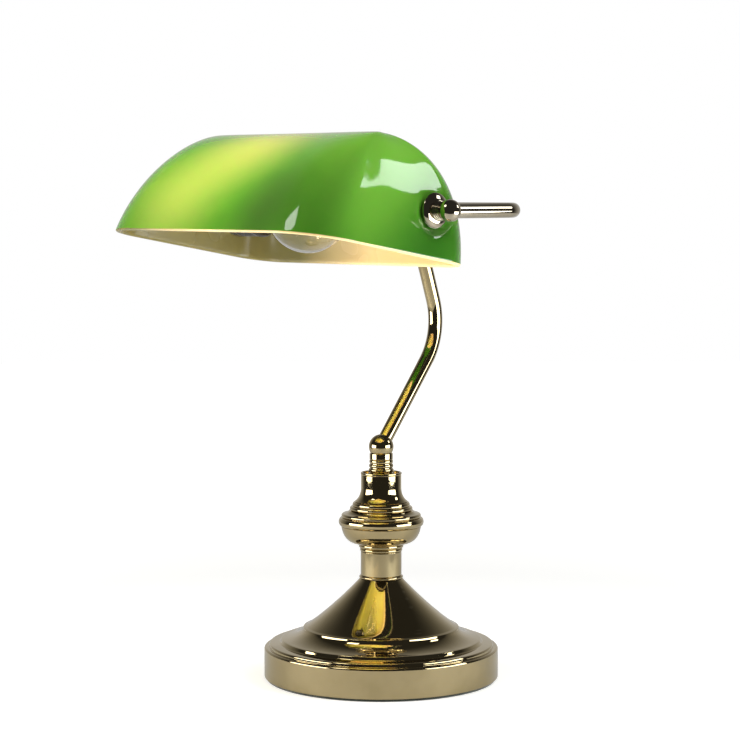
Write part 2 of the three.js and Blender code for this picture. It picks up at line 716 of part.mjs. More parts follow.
function makeKnob(name, side) {
  const centre = new THREE.Vector3(side * elbowX, PIVOT_Y, PIVOT_Z);
  const onAxis = (x) => new THREE.Vector3(side * x, PIVOT_Y, PIVOT_Z);
  const behind = (y) => new THREE.Vector3(side * elbowX, PIVOT_Y + y, PIVOT_Z);
  const elbow = cut(
    ballAt(elbowRadius, centre),
    rod(2 * elbowRadius, onAxis(elbowFlat - elbowRadius), onAxis(elbowFlat)),
    rod(nippleHole, onAxis(elbowFlat - 1), onAxis(nippleOuter + GAP)),
    rod(TUBE_RADIUS + FIT, behind(elbowSocket), behind(2 * elbowRadius)),
    rod(nippleBore, onAxis(elbowFlat), onAxis(elbowX)),
    rod(nippleBore, behind(-1), behind(elbowSocket + 1)),
  );
  place(`${name}_elbow_ball`, elbow, brass());

  const nippleReach = side > 0 ? SMALL_NUT_HEIGHT + NIPPLE_PAST_NUT : NIPPLE_IN_HOLDER;
  const nippleInner = innerFitTop - nippleReach;
  const nipple = turnedOnPivot(disc(NIPPLE_RADIUS, nippleBore, nippleInner, nippleOuter), side, 18);
  place(`${name}_nipple`, nipple, steel());

  const ribsFoot = capTop - CAP_RIBS * CAP_RIB_PITCH;
  const ribs = [];
  for (let i = 0; i < CAP_RIBS; i++) {
    const low = ribsFoot + i * CAP_RIB_PITCH;
    const root = NIPPLE_RADIUS + CAP_RIB_WALL - CAP_RIB_TAPER * i;
    ribs.push(...bead(root, low, low + 0.9 * CAP_RIB_PITCH, CAP_RIB_DEPTH));
  }
  const cap = turnedOnPivot(
    [
      [nippleHole, capFoot],
      [capRadius - 0.4, capFoot],
      [capRadius, capFoot + 0.5],
      [capRadius - 0.3, capFoot + 1.2],
      [capRadius - 1.6, capFoot + 2.1],
      [capRadius - 3.4, capFoot + 3.0],
      ...ribs,
      [nippleHole, capTop],
    ],
    side,
  );
  place(`${name}_flared_cap`, cap, brass());

  const outer = disc(fibreRadius, nippleHole, outerFibre, outerFibre + FIBRE_THICKNESS);
  place(`${name}_outer_fibre_washer`, turnedOnPivot(outer, side, 18), fibre());
  const inner = disc(fibreRadius, nippleHole, innerFibreTop - FIBRE_THICKNESS, innerFibreTop);
  place(`${name}_inner_fibre_washer`, turnedOnPivot(inner, side, 18), fibre());
}

function makeNearNut() {
  const nut = hexNut(
    2 * (NIPPLE_RADIUS + SMALL_NUT_WALL),
    nippleHole,
    innerFitTop - SMALL_NUT_HEIGHT,
    innerFitTop,
  )
    .rotateY(Math.PI / 2)
    .translate(0, PIVOT_Y, PIVOT_Z);
  place("near_inner_nut", nut, steel());
}

// ---------- glass shade ----------
// Points of the rim, anticlockwise from above, as a rounded rectangle drawn in by inset.
function shadeRim(inset) {
  const length = SHADE_HALF_LENGTH - inset;
  const front = -SHADE_FRONT + inset;
  const back = SHADE_BACK - inset;
  const frontCorner = SHADE_FRONT_CORNER - inset;
  const backCorner = SHADE_BACK_CORNER - inset;
  const outline = new THREE.Path();
  outline.moveTo(0, front);
  outline.absarc(length - frontCorner, front + frontCorner, frontCorner, -Math.PI / 2, 0);
  outline.absarc(length - backCorner, back - backCorner, backCorner, 0, Math.PI / 2);
  outline.absarc(-length + backCorner, back - backCorner, backCorner, Math.PI / 2, Math.PI);
  outline.absarc(-length + frontCorner, front + frontCorner, frontCorner, Math.PI, 1.5 * Math.PI);
  outline.closePath();
  return outline.getSpacedPoints(42).slice(0, -1);
}

// One side of the glass, from the rim up to the small flat at the top, as rows of points.
function shadeRows(inset) {
  const rows = [];
  const rim = shadeRim(inset);
  const height = SHADE_HEIGHT - inset;
  for (let level = 0; level <= SHADE_LEVELS; level++) {
    const rise = (SHADE_CLOSE * level) / SHADE_LEVELS;
    rows.push(
      rim.map((point) => {
        const ridgeX = (point.x * (SHADE_HALF_LENGTH - RIDGE_INSET)) / (SHADE_HALF_LENGTH - inset);
        const out = new THREE.Vector2(point.x - ridgeX, point.y - RIDGE_Y);
        const toEnd = (out.x / out.length()) ** 2;
        const toWall = 1 - toEnd;
        const wall = out.y > 0 ? BACK_CURVE : FRONT_CURVE;
        const power = toEnd * END_CURVE.power + toWall * wall.power;
        const lean = toEnd * END_CURVE.lean + toWall * wall.lean;
        const angle = lean + (Math.PI / 2 - lean) * rise;
        const spread = (Math.cos(angle) / Math.cos(lean)) ** (2 / power);
        const start = Math.sin(lean) ** (2 / power);
        const lift = (Math.sin(angle) ** (2 / power) - start) / (1 - start);
        return [ridgeX + out.x * spread, RIDGE_Y + out.y * spread, height * lift - SHADE_DROP];
      }),
    );
  }
  return rows;
}

function shadeGeometry() {
  const rows = [...shadeRows(SHADE_GLASS).reverse(), ...shadeRows(0)];
  const count = rows[0].length;
  const positions = rows.flat(2);
  const index = [];
  for (let row = 0; row < rows.length - 1; row++) {
    for (let i = 0; i < count; i++) {
      const next = (i + 1) % count;
      const [a, b] = [row * count + i, row * count + next];
      index.push(a, b, b + count, a, b + count, a + count);
    }
  }
  // the small flats that close the inside and the outside at the top
  for (const [row, turn] of [
    [0, true],
    [rows.length - 1, false],
  ]) {
    const centre = positions.length / 3;
    const heights = rows[row].map((point) => point[2]);
    positions.push(0, RIDGE_Y, heights.reduce((sum, z) => sum + z, 0) / count);
    for (let i = 0; i < count; i++) {
      const [a, b] = [row * count + i, row * count + ((i + 1) % count)];
      index.push(...(turn ? [centre, b, a] : [centre, a, b]));
    }
  }
  const geometry = new THREE.BufferGeometry();
  geometry.setAttribute("position", new THREE.Float32BufferAttribute(positions, 3));
  geometry.setIndex(index);
  return geometry;
}

function makeShade() {
  let glass = solid(shadeGeometry());
  for (const side of [1, -1]) {
    const onAxis = (x) => new THREE.Vector3(side * x, 0, 0);
    const far = SHADE_HALF_LENGTH + 10;
    glass = glass.add(solid(rod(seatRadius, onAxis(seatIn), onAxis(seatOut), 22)));
    glass = glass.subtract(solid(rod(seatRadius, onAxis(seatOut), onAxis(far), 22)));
    glass = glass.subtract(solid(rod(NIPPLE_RADIUS + SHADE_HOLE_CLEARANCE, onAxis(seatIn - 10), onAxis(far), 16)));
  }
  const tilting = new THREE.Group();
  tilting.position.set(0, PIVOT_Y, PIVOT_Z);
  tilting.rotation.x = -SHADE_TILT;
  group.add(tilting);
  place("glass_shade", geometryOf(glass), greenGlass(), tilting);
}

// ---------- lampholder ----------
const shellRadius = BULB_CAP_RADIUS + THREAD_CLEARANCE;
const holderRadius = shellRadius + SHELL_WALL + SHELL_TO_HOLDER;
const holderCapFoot = innerFitTop - HOLDER_CAP_LENGTH;
const discTop = innerFitTop - HOLDER_DISC_DEPTH;
const discFoot = discTop - HOLDER_DISC_THICKNESS;
const sleeveTop = holderCapFoot - GAP;
const sleeveFoot = sleeveTop - HOLDER_SLEEVE_LENGTH;
const contactFoot = discFoot - GAP - CONTACT_HEAD;
const bulbTip = contactFoot - GAP;

function makeLampholder() {
  const inside = holderRadius - HOLDER_WALL;
  const cap = [
    [inside, holderCapFoot],
    [holderRadius, holderCapFoot],
    [holderRadius, innerFitTop - 6.7],
    [holderRadius - 2, innerFitTop - 3.6],
    [holderRadius - 6.7, innerFitTop - 0.8],
    [fibreRadius + 0.6, innerFitTop],
    [nippleHole, innerFitTop],
    [nippleHole, discTop + 1.6],
    [inside - 4.6, discTop + 1.6],
    [inside - 1.2, discTop + 0.3],
    [inside, discTop - 1.0],
  ];
  place("lampholder_cap", turnedOnPivot(cap, -1), bakelite());

  const plate = disc(inside - 1.6, CONTACT_STEM_RADIUS + FIT, discFoot, discTop);
  place("lampholder_disc", turnedOnPivot(plate, -1, 20), ceramic());

  const sleeve = [
    [shellRadius + SHELL_WALL + HOLDER_LIP, sleeveFoot],
    [holderRadius - 1, sleeveFoot],
    [holderRadius - 0.2, sleeveFoot + 1],
    [holderRadius, sleeveTop],
    [inside, sleeveTop],
    [inside, sleeveFoot + 2],
    [shellRadius + SHELL_WALL + HOLDER_LIP, sleeveFoot + 2],
  ];
  place("lampholder_sleeve", turnedOnPivot(sleeve, -1), bakelite());

  const shellTop = discFoot - GAP;
  const shell = disc(shellRadius + SHELL_WALL, shellRadius, shellTop - SHELL_LENGTH, shellTop);
  place("lampholder_screw_shell", turnedOnPivot(shell, -1, 22), tinned());

  const contact = [
    [0, contactFoot],
    [CONTACT_HEAD_RADIUS, contactFoot],
    [CONTACT_HEAD_RADIUS, contactFoot + CONTACT_HEAD],
    [CONTACT_STEM_RADIUS, contactFoot + CONTACT_HEAD],
    [CONTACT_STEM_RADIUS, discTop + CONTACT_END],
    [0, discTop + CONTACT_END],
  ];
  place("lampholder_contact", turnedOnPivot(contact, -1, 16), tinned());
}

// ---------- bulb ----------
function makeBulb() {
  const buttonFoot = bulbTip - BUTTON_HEIGHT;
  const button = [
    [0, buttonFoot],
    [BUTTON_RADIUS, buttonFoot],
    [BUTTON_RADIUS - 0.5, bulbTip - 0.3],
    [BUTTON_RADIUS - 2.2, bulbTip],
    [0, bulbTip],
  ];
  place("bulb_contact", turnedOnPivot(button, -1, 18), tinned());

  const insulatorTop = buttonFoot - GAP;
  const insulatorFoot = insulatorTop - INSULATOR_HEIGHT;
  const insulator = [
    [0, insulatorFoot],
    [BULB_CAP_RADIUS - BULB_CAP_WALL, insulatorFoot],
    [BULB_CAP_RADIUS - 3.4, insulatorTop - 0.7],
    [BUTTON_RADIUS + FIT, insulatorTop],
    [0, insulatorTop],
  ];
  place("bulb_insulator", turnedOnPivot(insulator, -1, 24), bakelite());

  const screwCapTop = insulatorFoot - GAP;
  const mouth = screwCapTop - BULB_CAP_LENGTH;
  const screwCap = disc(BULB_CAP_RADIUS, BULB_CAP_RADIUS - BULB_CAP_WALL, mouth, screwCapTop);
  place("bulb_screw_cap", turnedOnPivot(screwCap, -1, 22), tinned());

  // envelope: a globe that runs into a neck, open where the neck sits in the screw cap
  const globe = bulbTip - (BULB_LENGTH - BULB_RADIUS);
  const neckRadius = BULB_CAP_RADIUS - BULB_CAP_WALL - FIT;
  const envelope = (inset) => {
    const radius = BULB_RADIUS - inset;
    const points = [[0, globe - radius]];
    for (let i = 1; i <= 7; i++) {
      const angle = -Math.PI / 2 + ((Math.PI / 2 + BULB_SHOULDER) * i) / 7;
      points.push([radius * Math.cos(angle), globe + radius * Math.sin(angle)]);
    }
    const [startRadius, startX] = points.at(-1);
    const run = mouth - BULB_NECK_BARE - startX;
    const shoulder = new THREE.CubicBezierCurve(
      new THREE.Vector2(startRadius, startX),
      new THREE.Vector2(startRadius - Math.tan(BULB_SHOULDER) * 0.4 * run, startX + 0.4 * run),
      new THREE.Vector2(neckRadius - inset + 0.8, startX + 0.7 * run),
      new THREE.Vector2(neckRadius - inset, startX + run),
    );
    const neckEnd = [neckRadius - inset, mouth + BULB_NECK_INSERT];
    return [...points, ...shoulder.getPoints(4).slice(1).map((point) => [point.x, point.y]), neckEnd];
  };
  const glass = [...envelope(0), ...envelope(BULB_GLASS).reverse()];
  place("bulb_glass", turnedOnPivot(glass, -1, 20), clearGlass());

  // the flared glass stem and the wire loop that it holds
  const stemFoot = globe + STEM_FOOT;
  const stemEnd = mouth + 3;
  const stem = [
    [0, stemFoot],
    [1.6, stemFoot],
    [2.4, stemFoot + 8],
    [3.2, stemFoot + 18],
    [6.5, stemEnd],
    [0, stemEnd],
  ];
  place("bulb_stem", turnedOnPivot(stem, -1, 16), clearGlass());
  const at = (x, y, z) => new THREE.Vector3(-x, PIVOT_Y + y, PIVOT_Z + z);
  const wire = new BentPath(
    [
      at(stemFoot + 2, 3.2, 0),
      at(stemFoot - 4, 4, 0),
      at(globe + 4, FILAMENT_SPREAD, 0),
      at(globe - 3, 0, 3),
      at(globe + 4, -FILAMENT_SPREAD, 0),
      at(stemFoot - 4, -4, 0),
      at(stemFoot + 2, -3.2, 0),
    ],
    [2, 2, 3, 2, 2],
    3,
  );
  place("bulb_filament", bentTube(wire, FILAMENT_RADIUS, 0, 3), tungsten());
}

makeBase();
makeColumn();
makeArm();
makeYoke();
makeNearNut();
makeShade();
makeLampholder();
makeBulb();

export default group;
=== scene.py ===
"""Banker desk lamp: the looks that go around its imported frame.

Metres, +Z up. +X runs along the shade and the shade looks to -Y. Sizes inside the classes are in
millimetres, and each piece takes its place from the frame's own boxes.
"""

import json
import logging
import math
from collections.abc import Iterable, Sequence
from dataclasses import dataclass, field
from enum import Enum

import bmesh
import bpy
from mathutils import Matrix, Vector


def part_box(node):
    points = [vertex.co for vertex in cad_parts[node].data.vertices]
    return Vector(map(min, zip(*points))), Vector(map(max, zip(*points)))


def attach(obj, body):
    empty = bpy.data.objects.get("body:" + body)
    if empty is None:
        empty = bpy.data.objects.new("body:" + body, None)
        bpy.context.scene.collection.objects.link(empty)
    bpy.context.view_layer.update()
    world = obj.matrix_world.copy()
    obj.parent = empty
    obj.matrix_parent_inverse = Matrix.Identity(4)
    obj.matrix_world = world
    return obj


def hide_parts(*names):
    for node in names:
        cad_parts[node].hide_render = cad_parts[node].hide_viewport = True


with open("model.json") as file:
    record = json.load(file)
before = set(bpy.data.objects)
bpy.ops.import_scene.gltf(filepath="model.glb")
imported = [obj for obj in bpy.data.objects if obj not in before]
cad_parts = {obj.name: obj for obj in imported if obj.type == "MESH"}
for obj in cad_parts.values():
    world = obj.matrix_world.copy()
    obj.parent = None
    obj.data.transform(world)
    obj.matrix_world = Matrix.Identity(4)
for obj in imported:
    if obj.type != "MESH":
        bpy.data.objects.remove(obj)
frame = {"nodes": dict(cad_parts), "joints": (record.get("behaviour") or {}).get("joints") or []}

MM = 0.001
TURN = 2 * math.pi
TUBE = 5.0
TUBE_WALL = 1.1
SOCKET_PLAY = 0.05
TEE_INSERT = 6.3
HEAD_LEAN = math.radians(39.0)
AXIS_BORE = 4.3
SCREW_PITCH = 3.6
PIPE_BORE = 5.3
log = logging.getLogger("banker_lamp")


class Body(Enum):
    """The three bodies of the frame."""

    STAND = "stand"
    SHADE = "shade"
    BULB = "bulb"


class Slot(Enum):
    """The record's material slots that pieces here take."""

    BRASS = "polished_brass"
    GREEN_GLASS = "green_cased_glass"
    FELT = "felt"
    RUBBER = "rubber"
    BAKELITE = "black_bakelite"
    NICKEL = "nickel_plate"
    CLEAR_GLASS = "clear_glass"
    TUNGSTEN = "tungsten"
    FIBRE = "vulcanised_fibre"


# ---------- finishes ----------
class NodeSheet:
    """A node tree with short calls for adding and joining nodes."""

    def __init__(self, tree: bpy.types.NodeTree) -> None:
        """Keeps the tree that the nodes go into."""
        self.tree = tree

    def node(self, kind: str, **settings: object) -> bpy.types.Node:
        """Adds one node.

        Args:
            kind: the node's type name without its ShaderNode prefix.
            settings: properties of the node, or values of its inputs by their names with
                underscores for spaces.

        Returns:
            The new node.
        """
        made = self.tree.nodes.new("ShaderNode" + kind)
        for name, value in settings.items():
            socket = name.replace("_", " ")
            if hasattr(made, name):
                setattr(made, name, value)
            else:
                made.inputs[socket].default_value = value
        return made

    def link(self, source: bpy.types.NodeSocket, target: bpy.types.NodeSocket) -> None:
        """Joins an output to an input."""
        self.tree.links.new(source, target)

    def mix(
        self, factor: bpy.types.NodeSocket, low: object, high: Sequence[float]
    ) -> bpy.types.NodeSocket:
        """Mixes two colours by a mask.

        Args:
            factor: the mask's socket.
            low: what shows where the mask is 0, a socket or a linear colour.
            high: the linear colour where the mask is 1.

        Returns:
            The mixed colour's socket.
        """
        made = self.node("Mix", data_type="RGBA")
        under, over = [socket for socket in made.inputs if socket.type == "RGBA"]
        over.default_value = (*high, 1.0)
        if isinstance(low, bpy.types.NodeSocket):
            self.link(low, under)
        else:
            under.default_value = (*low, 1.0)
        self.link(factor, made.inputs["Factor"])
        return next(socket for socket in made.outputs if socket.type == "RGBA")

    def math(self, kind: str, first: object, second: object) -> bpy.types.NodeSocket:
        """One sum of two values, each a socket or a number.

        Args:
            kind: the Math node's operation.
            first: the first value.
            second: the second value.

        Returns:
            The result's socket.
        """
        made = self.node("Math", operation=kind)
        for place, value in enumerate((first, second)):
            if isinstance(value, bpy.types.NodeSocket):
                self.link(value, made.inputs[place])
            else:
                made.inputs[place].default_value = value
        return made.outputs[0]

    def span(
        self, value: bpy.types.NodeSocket, low: float, high: float, out_low: float, out_high: float
    ) -> bpy.types.NodeSocket:
        """Maps a value's range to another, clamped.

        Args:
            value: the socket to map.
            low: where the source range starts.
            high: where it ends.
            out_low: the result at low.
            out_high: the result at high.

        Returns:
            The mapped value's socket.
        """
        made = self.node("MapRange", From_Min=low, From_Max=high, To_Min=out_low, To_Max=out_high)
        self.link(value, made.inputs["Value"])
        return made.outputs["Result"]


class Effect(Enum):
    """Shared surface effects, each built once as a node group."""

    CLOUDS = "soft_clouds"
    HAIRLINES = "hairline_marks"
    GRAIN = "fine_grain"
    WORN_EDGES = "worn_edges"


def start_group(effect: Effect, inputs: Iterable[tuple[str, float]]) -> NodeSheet:
    """Starts a node group with number inputs and one mask output.

    Args:
        effect: which effect the group is.
        inputs: the name and usual value of each input.

    Returns:
        The group's sheet, with its input and output nodes named "in" and "out".
    """
    tree = bpy.data.node_groups.new(effect.value, "ShaderNodeTree")
    for name, value in inputs:
        socket = tree.interface.new_socket(name, in_out="INPUT", socket_type="NodeSocketFloat")
        socket.default_value = value
    tree.interface.new_socket("Mask", in_out="OUTPUT", socket_type="NodeSocketFloat")
    tree.nodes.new("NodeGroupInput").name = "in"
    tree.nodes.new("NodeGroupOutput").name = "out"
    return NodeSheet(tree)


def noise_field(sheet: NodeSheet, **settings: float) -> bpy.types.Node:
    """Noise over a piece's own coordinates, at the group's Scale.

    Args:
        sheet: the group's sheet.
        settings: values of the noise's inputs.

    Returns:
        The noise's node.
    """
    noise = sheet.node("TexNoise", **settings)
    sheet.link(sheet.node("TexCoord").outputs["Object"], noise.inputs["Vector"])
    sheet.link(sheet.tree.nodes["in"].outputs["Scale"], noise.inputs["Scale"])
    return noise


def build_clouds() -> NodeSheet:
    """Broad soft patches, as of tone, film or thickness."""
    sheet = start_group(Effect.CLOUDS, [("Scale", 30.0), ("Low", 0.35), ("High", 0.65)])
    source, sink = sheet.tree.nodes["in"], sheet.tree.nodes["out"]
    noise = noise_field(sheet, Detail=3.0, Roughness=0.55)
    spread = sheet.node("MapRange", interpolation_type="SMOOTHSTEP")
    sheet.link(noise.outputs[0], spread.inputs["Value"])
    sheet.link(source.outputs["Low"], spread.inputs["From Min"])
    sheet.link(source.outputs["High"], spread.inputs["From Max"])
    sheet.link(spread.outputs["Result"], sink.inputs["Mask"])
    return sheet


def build_hairlines() -> NodeSheet:
    """Sparse fine rubbing marks, in two directions."""
    sheet = start_group(Effect.HAIRLINES, [("Scale", 900.0), ("Stretch", 0.06), ("Cut", 0.68)])
    source, sink = sheet.tree.nodes["in"], sheet.tree.nodes["out"]
    where = sheet.node("TexCoord")
    masks = []
    for turn in (0.5, -0.9):
        lay = sheet.node("Mapping")
        lay.inputs["Rotation"].default_value = (turn, 0.4 * turn, turn)
        stretch = sheet.node("CombineXYZ", X=1.0, Y=1.0)
        noise = sheet.node("TexNoise", Detail=1.0)
        sheet.link(source.outputs["Stretch"], stretch.inputs["Z"])
        sheet.link(where.outputs["Object"], lay.inputs["Vector"])
        sheet.link(stretch.outputs[0], lay.inputs["Scale"])
        sheet.link(lay.outputs[0], noise.inputs["Vector"])
        sheet.link(source.outputs["Scale"], noise.inputs["Scale"])
        over = sheet.math("SUBTRACT", noise.outputs[0], source.outputs["Cut"])
        masks.append(sheet.math("MULTIPLY", over, 9.0))
    both = sheet.math("MAXIMUM", *masks)
    kept = sheet.math("MINIMUM", sheet.math("MAXIMUM", both, 0.0), 1.0)
    sheet.link(kept, sink.inputs["Mask"])
    return sheet


def build_grain() -> NodeSheet:
    """An even fine grain, as of felt, castings, fibre board or moulded rubber."""
    sheet = start_group(Effect.GRAIN, [("Scale", 1200.0), ("Detail", 4.0)])
    source, sink = sheet.tree.nodes["in"], sheet.tree.nodes["out"]
    noise = noise_field(sheet, Roughness=0.7)
    sheet.link(source.outputs["Detail"], noise.inputs["Detail"])
    sheet.link(noise.outputs[0], sink.inputs["Mask"])
    return sheet


def build_worn_edges() -> NodeSheet:
    """Outer edges that polishing and handling have brightened, broken up by noise."""
    sheet = start_group(Effect.WORN_EDGES, [("Start", 0.52), ("End", 0.62), ("Scale", 220.0)])
    source, sink = sheet.tree.nodes["in"], sheet.tree.nodes["out"]
    shape = sheet.node("NewGeometry")
    edge = sheet.node("MapRange")
    noise = noise_field(sheet, Detail=2.0)
    sheet.link(shape.outputs["Pointiness"], edge.inputs["Value"])
    sheet.link(source.outputs["Start"], edge.inputs["From Min"])
    sheet.link(source.outputs["End"], edge.inputs["From Max"])
    broken = sheet.math("MULTIPLY", edge.outputs["Result"], noise.outputs[0])
    sheet.link(broken, sink.inputs["Mask"])
    return sheet


EFFECT_MAKERS = {
    Effect.CLOUDS: build_clouds,
    Effect.HAIRLINES: build_hairlines,
    Effect.GRAIN: build_grain,
    Effect.WORN_EDGES: build_worn_edges,
}


def effect_mask(sheet: NodeSheet, effect: Effect, **values: float) -> bpy.types.NodeSocket:
    """Places a shared effect in a material.

    Args:
        sheet: the material's sheet.
        effect: the effect to place, which is built the first time.
        values: the group's input values by name.

    Returns:
        The effect's mask socket.
    """
    tree = bpy.data.node_groups.get(effect.value) or EFFECT_MAKERS[effect]().tree
    placed = sheet.tree.nodes.new("ShaderNodeGroup")
    placed.node_tree = tree
    for name, value in values.items():
        placed.inputs[name].default_value = value
    return placed.outputs["Mask"]


@dataclass(frozen=True)
class Finish:
    """A finish's name, base tone and gloss. A subclass adds what its surface shows."""

    name: str
    light: tuple[float, float, float]
    deep: tuple[float, float, float]
    roughness: float
    roughness_spread: float
    patch_scale: float = 30.0

    def material(self) -> bpy.types.Material:
        """The finish's material, made the first time it is asked for."""
        made = bpy.data.materials.get(self.name)
        if made is None:
            made = bpy.data.materials.new(self.name)
            made.use_nodes = True
            sheet = NodeSheet(made.node_tree)
            shader = made.node_tree.nodes["Principled BSDF"]
            self.dress(sheet, shader)
        return made

    def dress(self, sheet: NodeSheet, shader: bpy.types.Node) -> None:
        """Tone and gloss that vary in soft patches; a subclass adds to this."""
        clouds = effect_mask(sheet, Effect.CLOUDS, Scale=self.patch_scale)
        sheet.link(sheet.mix(clouds, self.deep, self.light), shader.inputs["Base Color"])
        low, high = self.roughness, self.roughness + self.roughness_spread
        sheet.link(sheet.span(clouds, 0.0, 1.0, high, low), shader.inputs["Roughness"])

    def bump(
        self,
        sheet: NodeSheet,
        shader: bpy.types.Node,
        height: bpy.types.NodeSocket,
        depth: float,
    ) -> None:
        """Raises the surface by a height socket.

        Args:
            sheet: the material's sheet.
            shader: the shader that takes the normal.
            height: the height's socket, 0 to 1.
            depth: the height of 1, in metres.
        """
        made = sheet.node("Bump", Strength=1.0, Distance=depth)
        sheet.link(height, made.inputs["Height"])
        sheet.link(made.outputs["Normal"], shader.inputs["Normal"])


@dataclass(frozen=True)
class PlatedMetal(Finish):
    """Polished plate: mirror gloss, a faint film, hairlines and brighter edges."""

    edge: tuple[float, float, float] = (0.9, 0.8, 0.55)
    hairline_gloss: float = 0.06
    waviness: float = 0.00001
    lacquer: float = 0.0

    def dress(self, sheet: NodeSheet, shader: bpy.types.Node) -> None:
        """Adds the metal's edges, hairlines, waviness and lacquer."""
        shader.inputs["Metallic"].default_value = 1.0
        shader.inputs["Coat Weight"].default_value = self.lacquer
        shader.inputs["Coat Roughness"].default_value = 0.04
        clouds = effect_mask(sheet, Effect.CLOUDS, Scale=self.patch_scale)
        worn = effect_mask(sheet, Effect.WORN_EDGES)
        lines = effect_mask(sheet, Effect.HAIRLINES)
        body = sheet.mix(clouds, self.deep, self.light)
        sheet.link(sheet.mix(worn, body, self.edge), shader.inputs["Base Color"])
        film = sheet.span(clouds, 0.0, 1.0, self.roughness + self.roughness_spread, self.roughness)
        marks = sheet.math("MULTIPLY", lines, self.hairline_gloss)
        sheet.link(sheet.math("ADD", film, marks), shader.inputs["Roughness"])
        ripple = effect_mask(sheet, Effect.CLOUDS, Scale=140.0, Low=0.2, High=0.8)
        self.bump(sheet, shader, ripple, self.waviness)


@dataclass(frozen=True)
class CasedGlass(Finish):
    """The outer green layer over opal: deep colour under a wet gloss."""

    # The colours below: a deeper green for random streaks and for painted shade, a painted yellow-green
    # glow, a painted shade band and a painted lit green.
    deep_green_and_shade: tuple[float, float, float] = (0.02, 0.13, 0.01)
    painted_glow_green: tuple[float, float, float] = (0.46, 0.54, 0.11)
    painted_shade_band: tuple[float, float, float] = (0.062, 0.175, 0.022)
    painted_lit_green: tuple[float, float, float] = (0.225, 0.56, 0.055)

    def patch(
        self, sheet: NodeSheet, centre: Sequence[float], reach: Sequence[float]
    ) -> bpy.types.NodeSocket:
        """A soft round patch on the glass, where painted light or painted shade is laid.

        Args:
            sheet: the material's sheet.
            centre: its middle, in the shade's own coordinates.
            reach: how far it fades out along each axis.

        Returns:
            The patch's mask, 1 at its middle.
        """
        lay = sheet.node("Mapping", vector_type="POINT")
        lay.inputs["Scale"].default_value = [1 / value for value in reach]
        lay.inputs["Location"].default_value = [-spot / value for spot, value in zip(centre, reach)]
        away = sheet.node("VectorMath", operation="LENGTH")
        sheet.link(sheet.node("TexCoord").outputs["Object"], lay.inputs["Vector"])
        sheet.link(lay.outputs[0], away.inputs[0])
        fade = sheet.node("MapRange", interpolation_type="SMOOTHSTEP")
        fade.inputs["To Min"].default_value = 1.0
        fade.inputs["To Max"].default_value = 0.0
        sheet.link(away.outputs["Value"], fade.inputs["Value"])
        return fade.outputs["Result"]

    def dress(self, sheet: NodeSheet, shader: bpy.types.Node) -> None:
        """Adds random streaks of deeper green, soft patches of painted light and painted shade, and the
        blown surface's slow waves.
        """
        shader.inputs["IOR"].default_value = 1.5
        shader.inputs["Coat Weight"].default_value = 0.6
        shader.inputs["Coat Roughness"].default_value = 0.02
        shader.inputs["Subsurface Weight"].default_value = 0.25
        shader.inputs["Subsurface Radius"].default_value = (0.2, 1.0, 0.1)
        shader.inputs["Subsurface Scale"].default_value = 0.006
        clouds = effect_mask(sheet, Effect.CLOUDS, Scale=9.0, Low=0.2, High=0.8)
        streaks = effect_mask(sheet, Effect.CLOUDS, Scale=self.patch_scale)
        tone = sheet.mix(clouds, self.deep, self.light)
        tone = sheet.mix(sheet.math("MULTIPLY", streaks, 0.08), tone, self.deep_green_and_shade)
        # Painted light and shade: lit green high on the near end, a painted shade band on the front
        # towards the near end, painted shade low on the near end, and a painted yellow-green glow over
        # the crown and front.
        for colour, share, centre, reach in (
            (self.painted_lit_green, 0.60, (0.102, -0.112, 0.342), (0.054, 0.055, 0.060)),
            (self.painted_shade_band, 0.95, (0.054, -0.160, 0.326), (0.042, 0.056, 0.066)),
            (self.painted_lit_green, 0.90, (0.086, -0.078, 0.372), (0.062, 0.075, 0.052)),
            (self.deep_green_and_shade, 0.80, (0.108, -0.062, 0.296), (0.050, 0.080, 0.056)),
            (self.painted_glow_green, 0.55, (-0.034, -0.150, 0.334), (0.062, 0.070, 0.070)),
            (self.painted_glow_green, 0.90, (-0.004, -0.105, 0.374), (0.066, 0.080, 0.060)),
        ):
            mask = sheet.math("MULTIPLY", self.patch(sheet, centre, reach), share)
            tone = sheet.mix(mask, tone, colour)
        sheet.link(tone, shader.inputs["Base Color"])
        film = effect_mask(sheet, Effect.CLOUDS, Scale=60.0)
        low, high = self.roughness, self.roughness + self.roughness_spread
        sheet.link(sheet.span(film, 0.0, 1.0, low, high), shader.inputs["Roughness"])
        wave = effect_mask(sheet, Effect.CLOUDS, Scale=26.0, Low=0.1, High=0.9)
        self.bump(sheet, shader, wave, 0.00012)


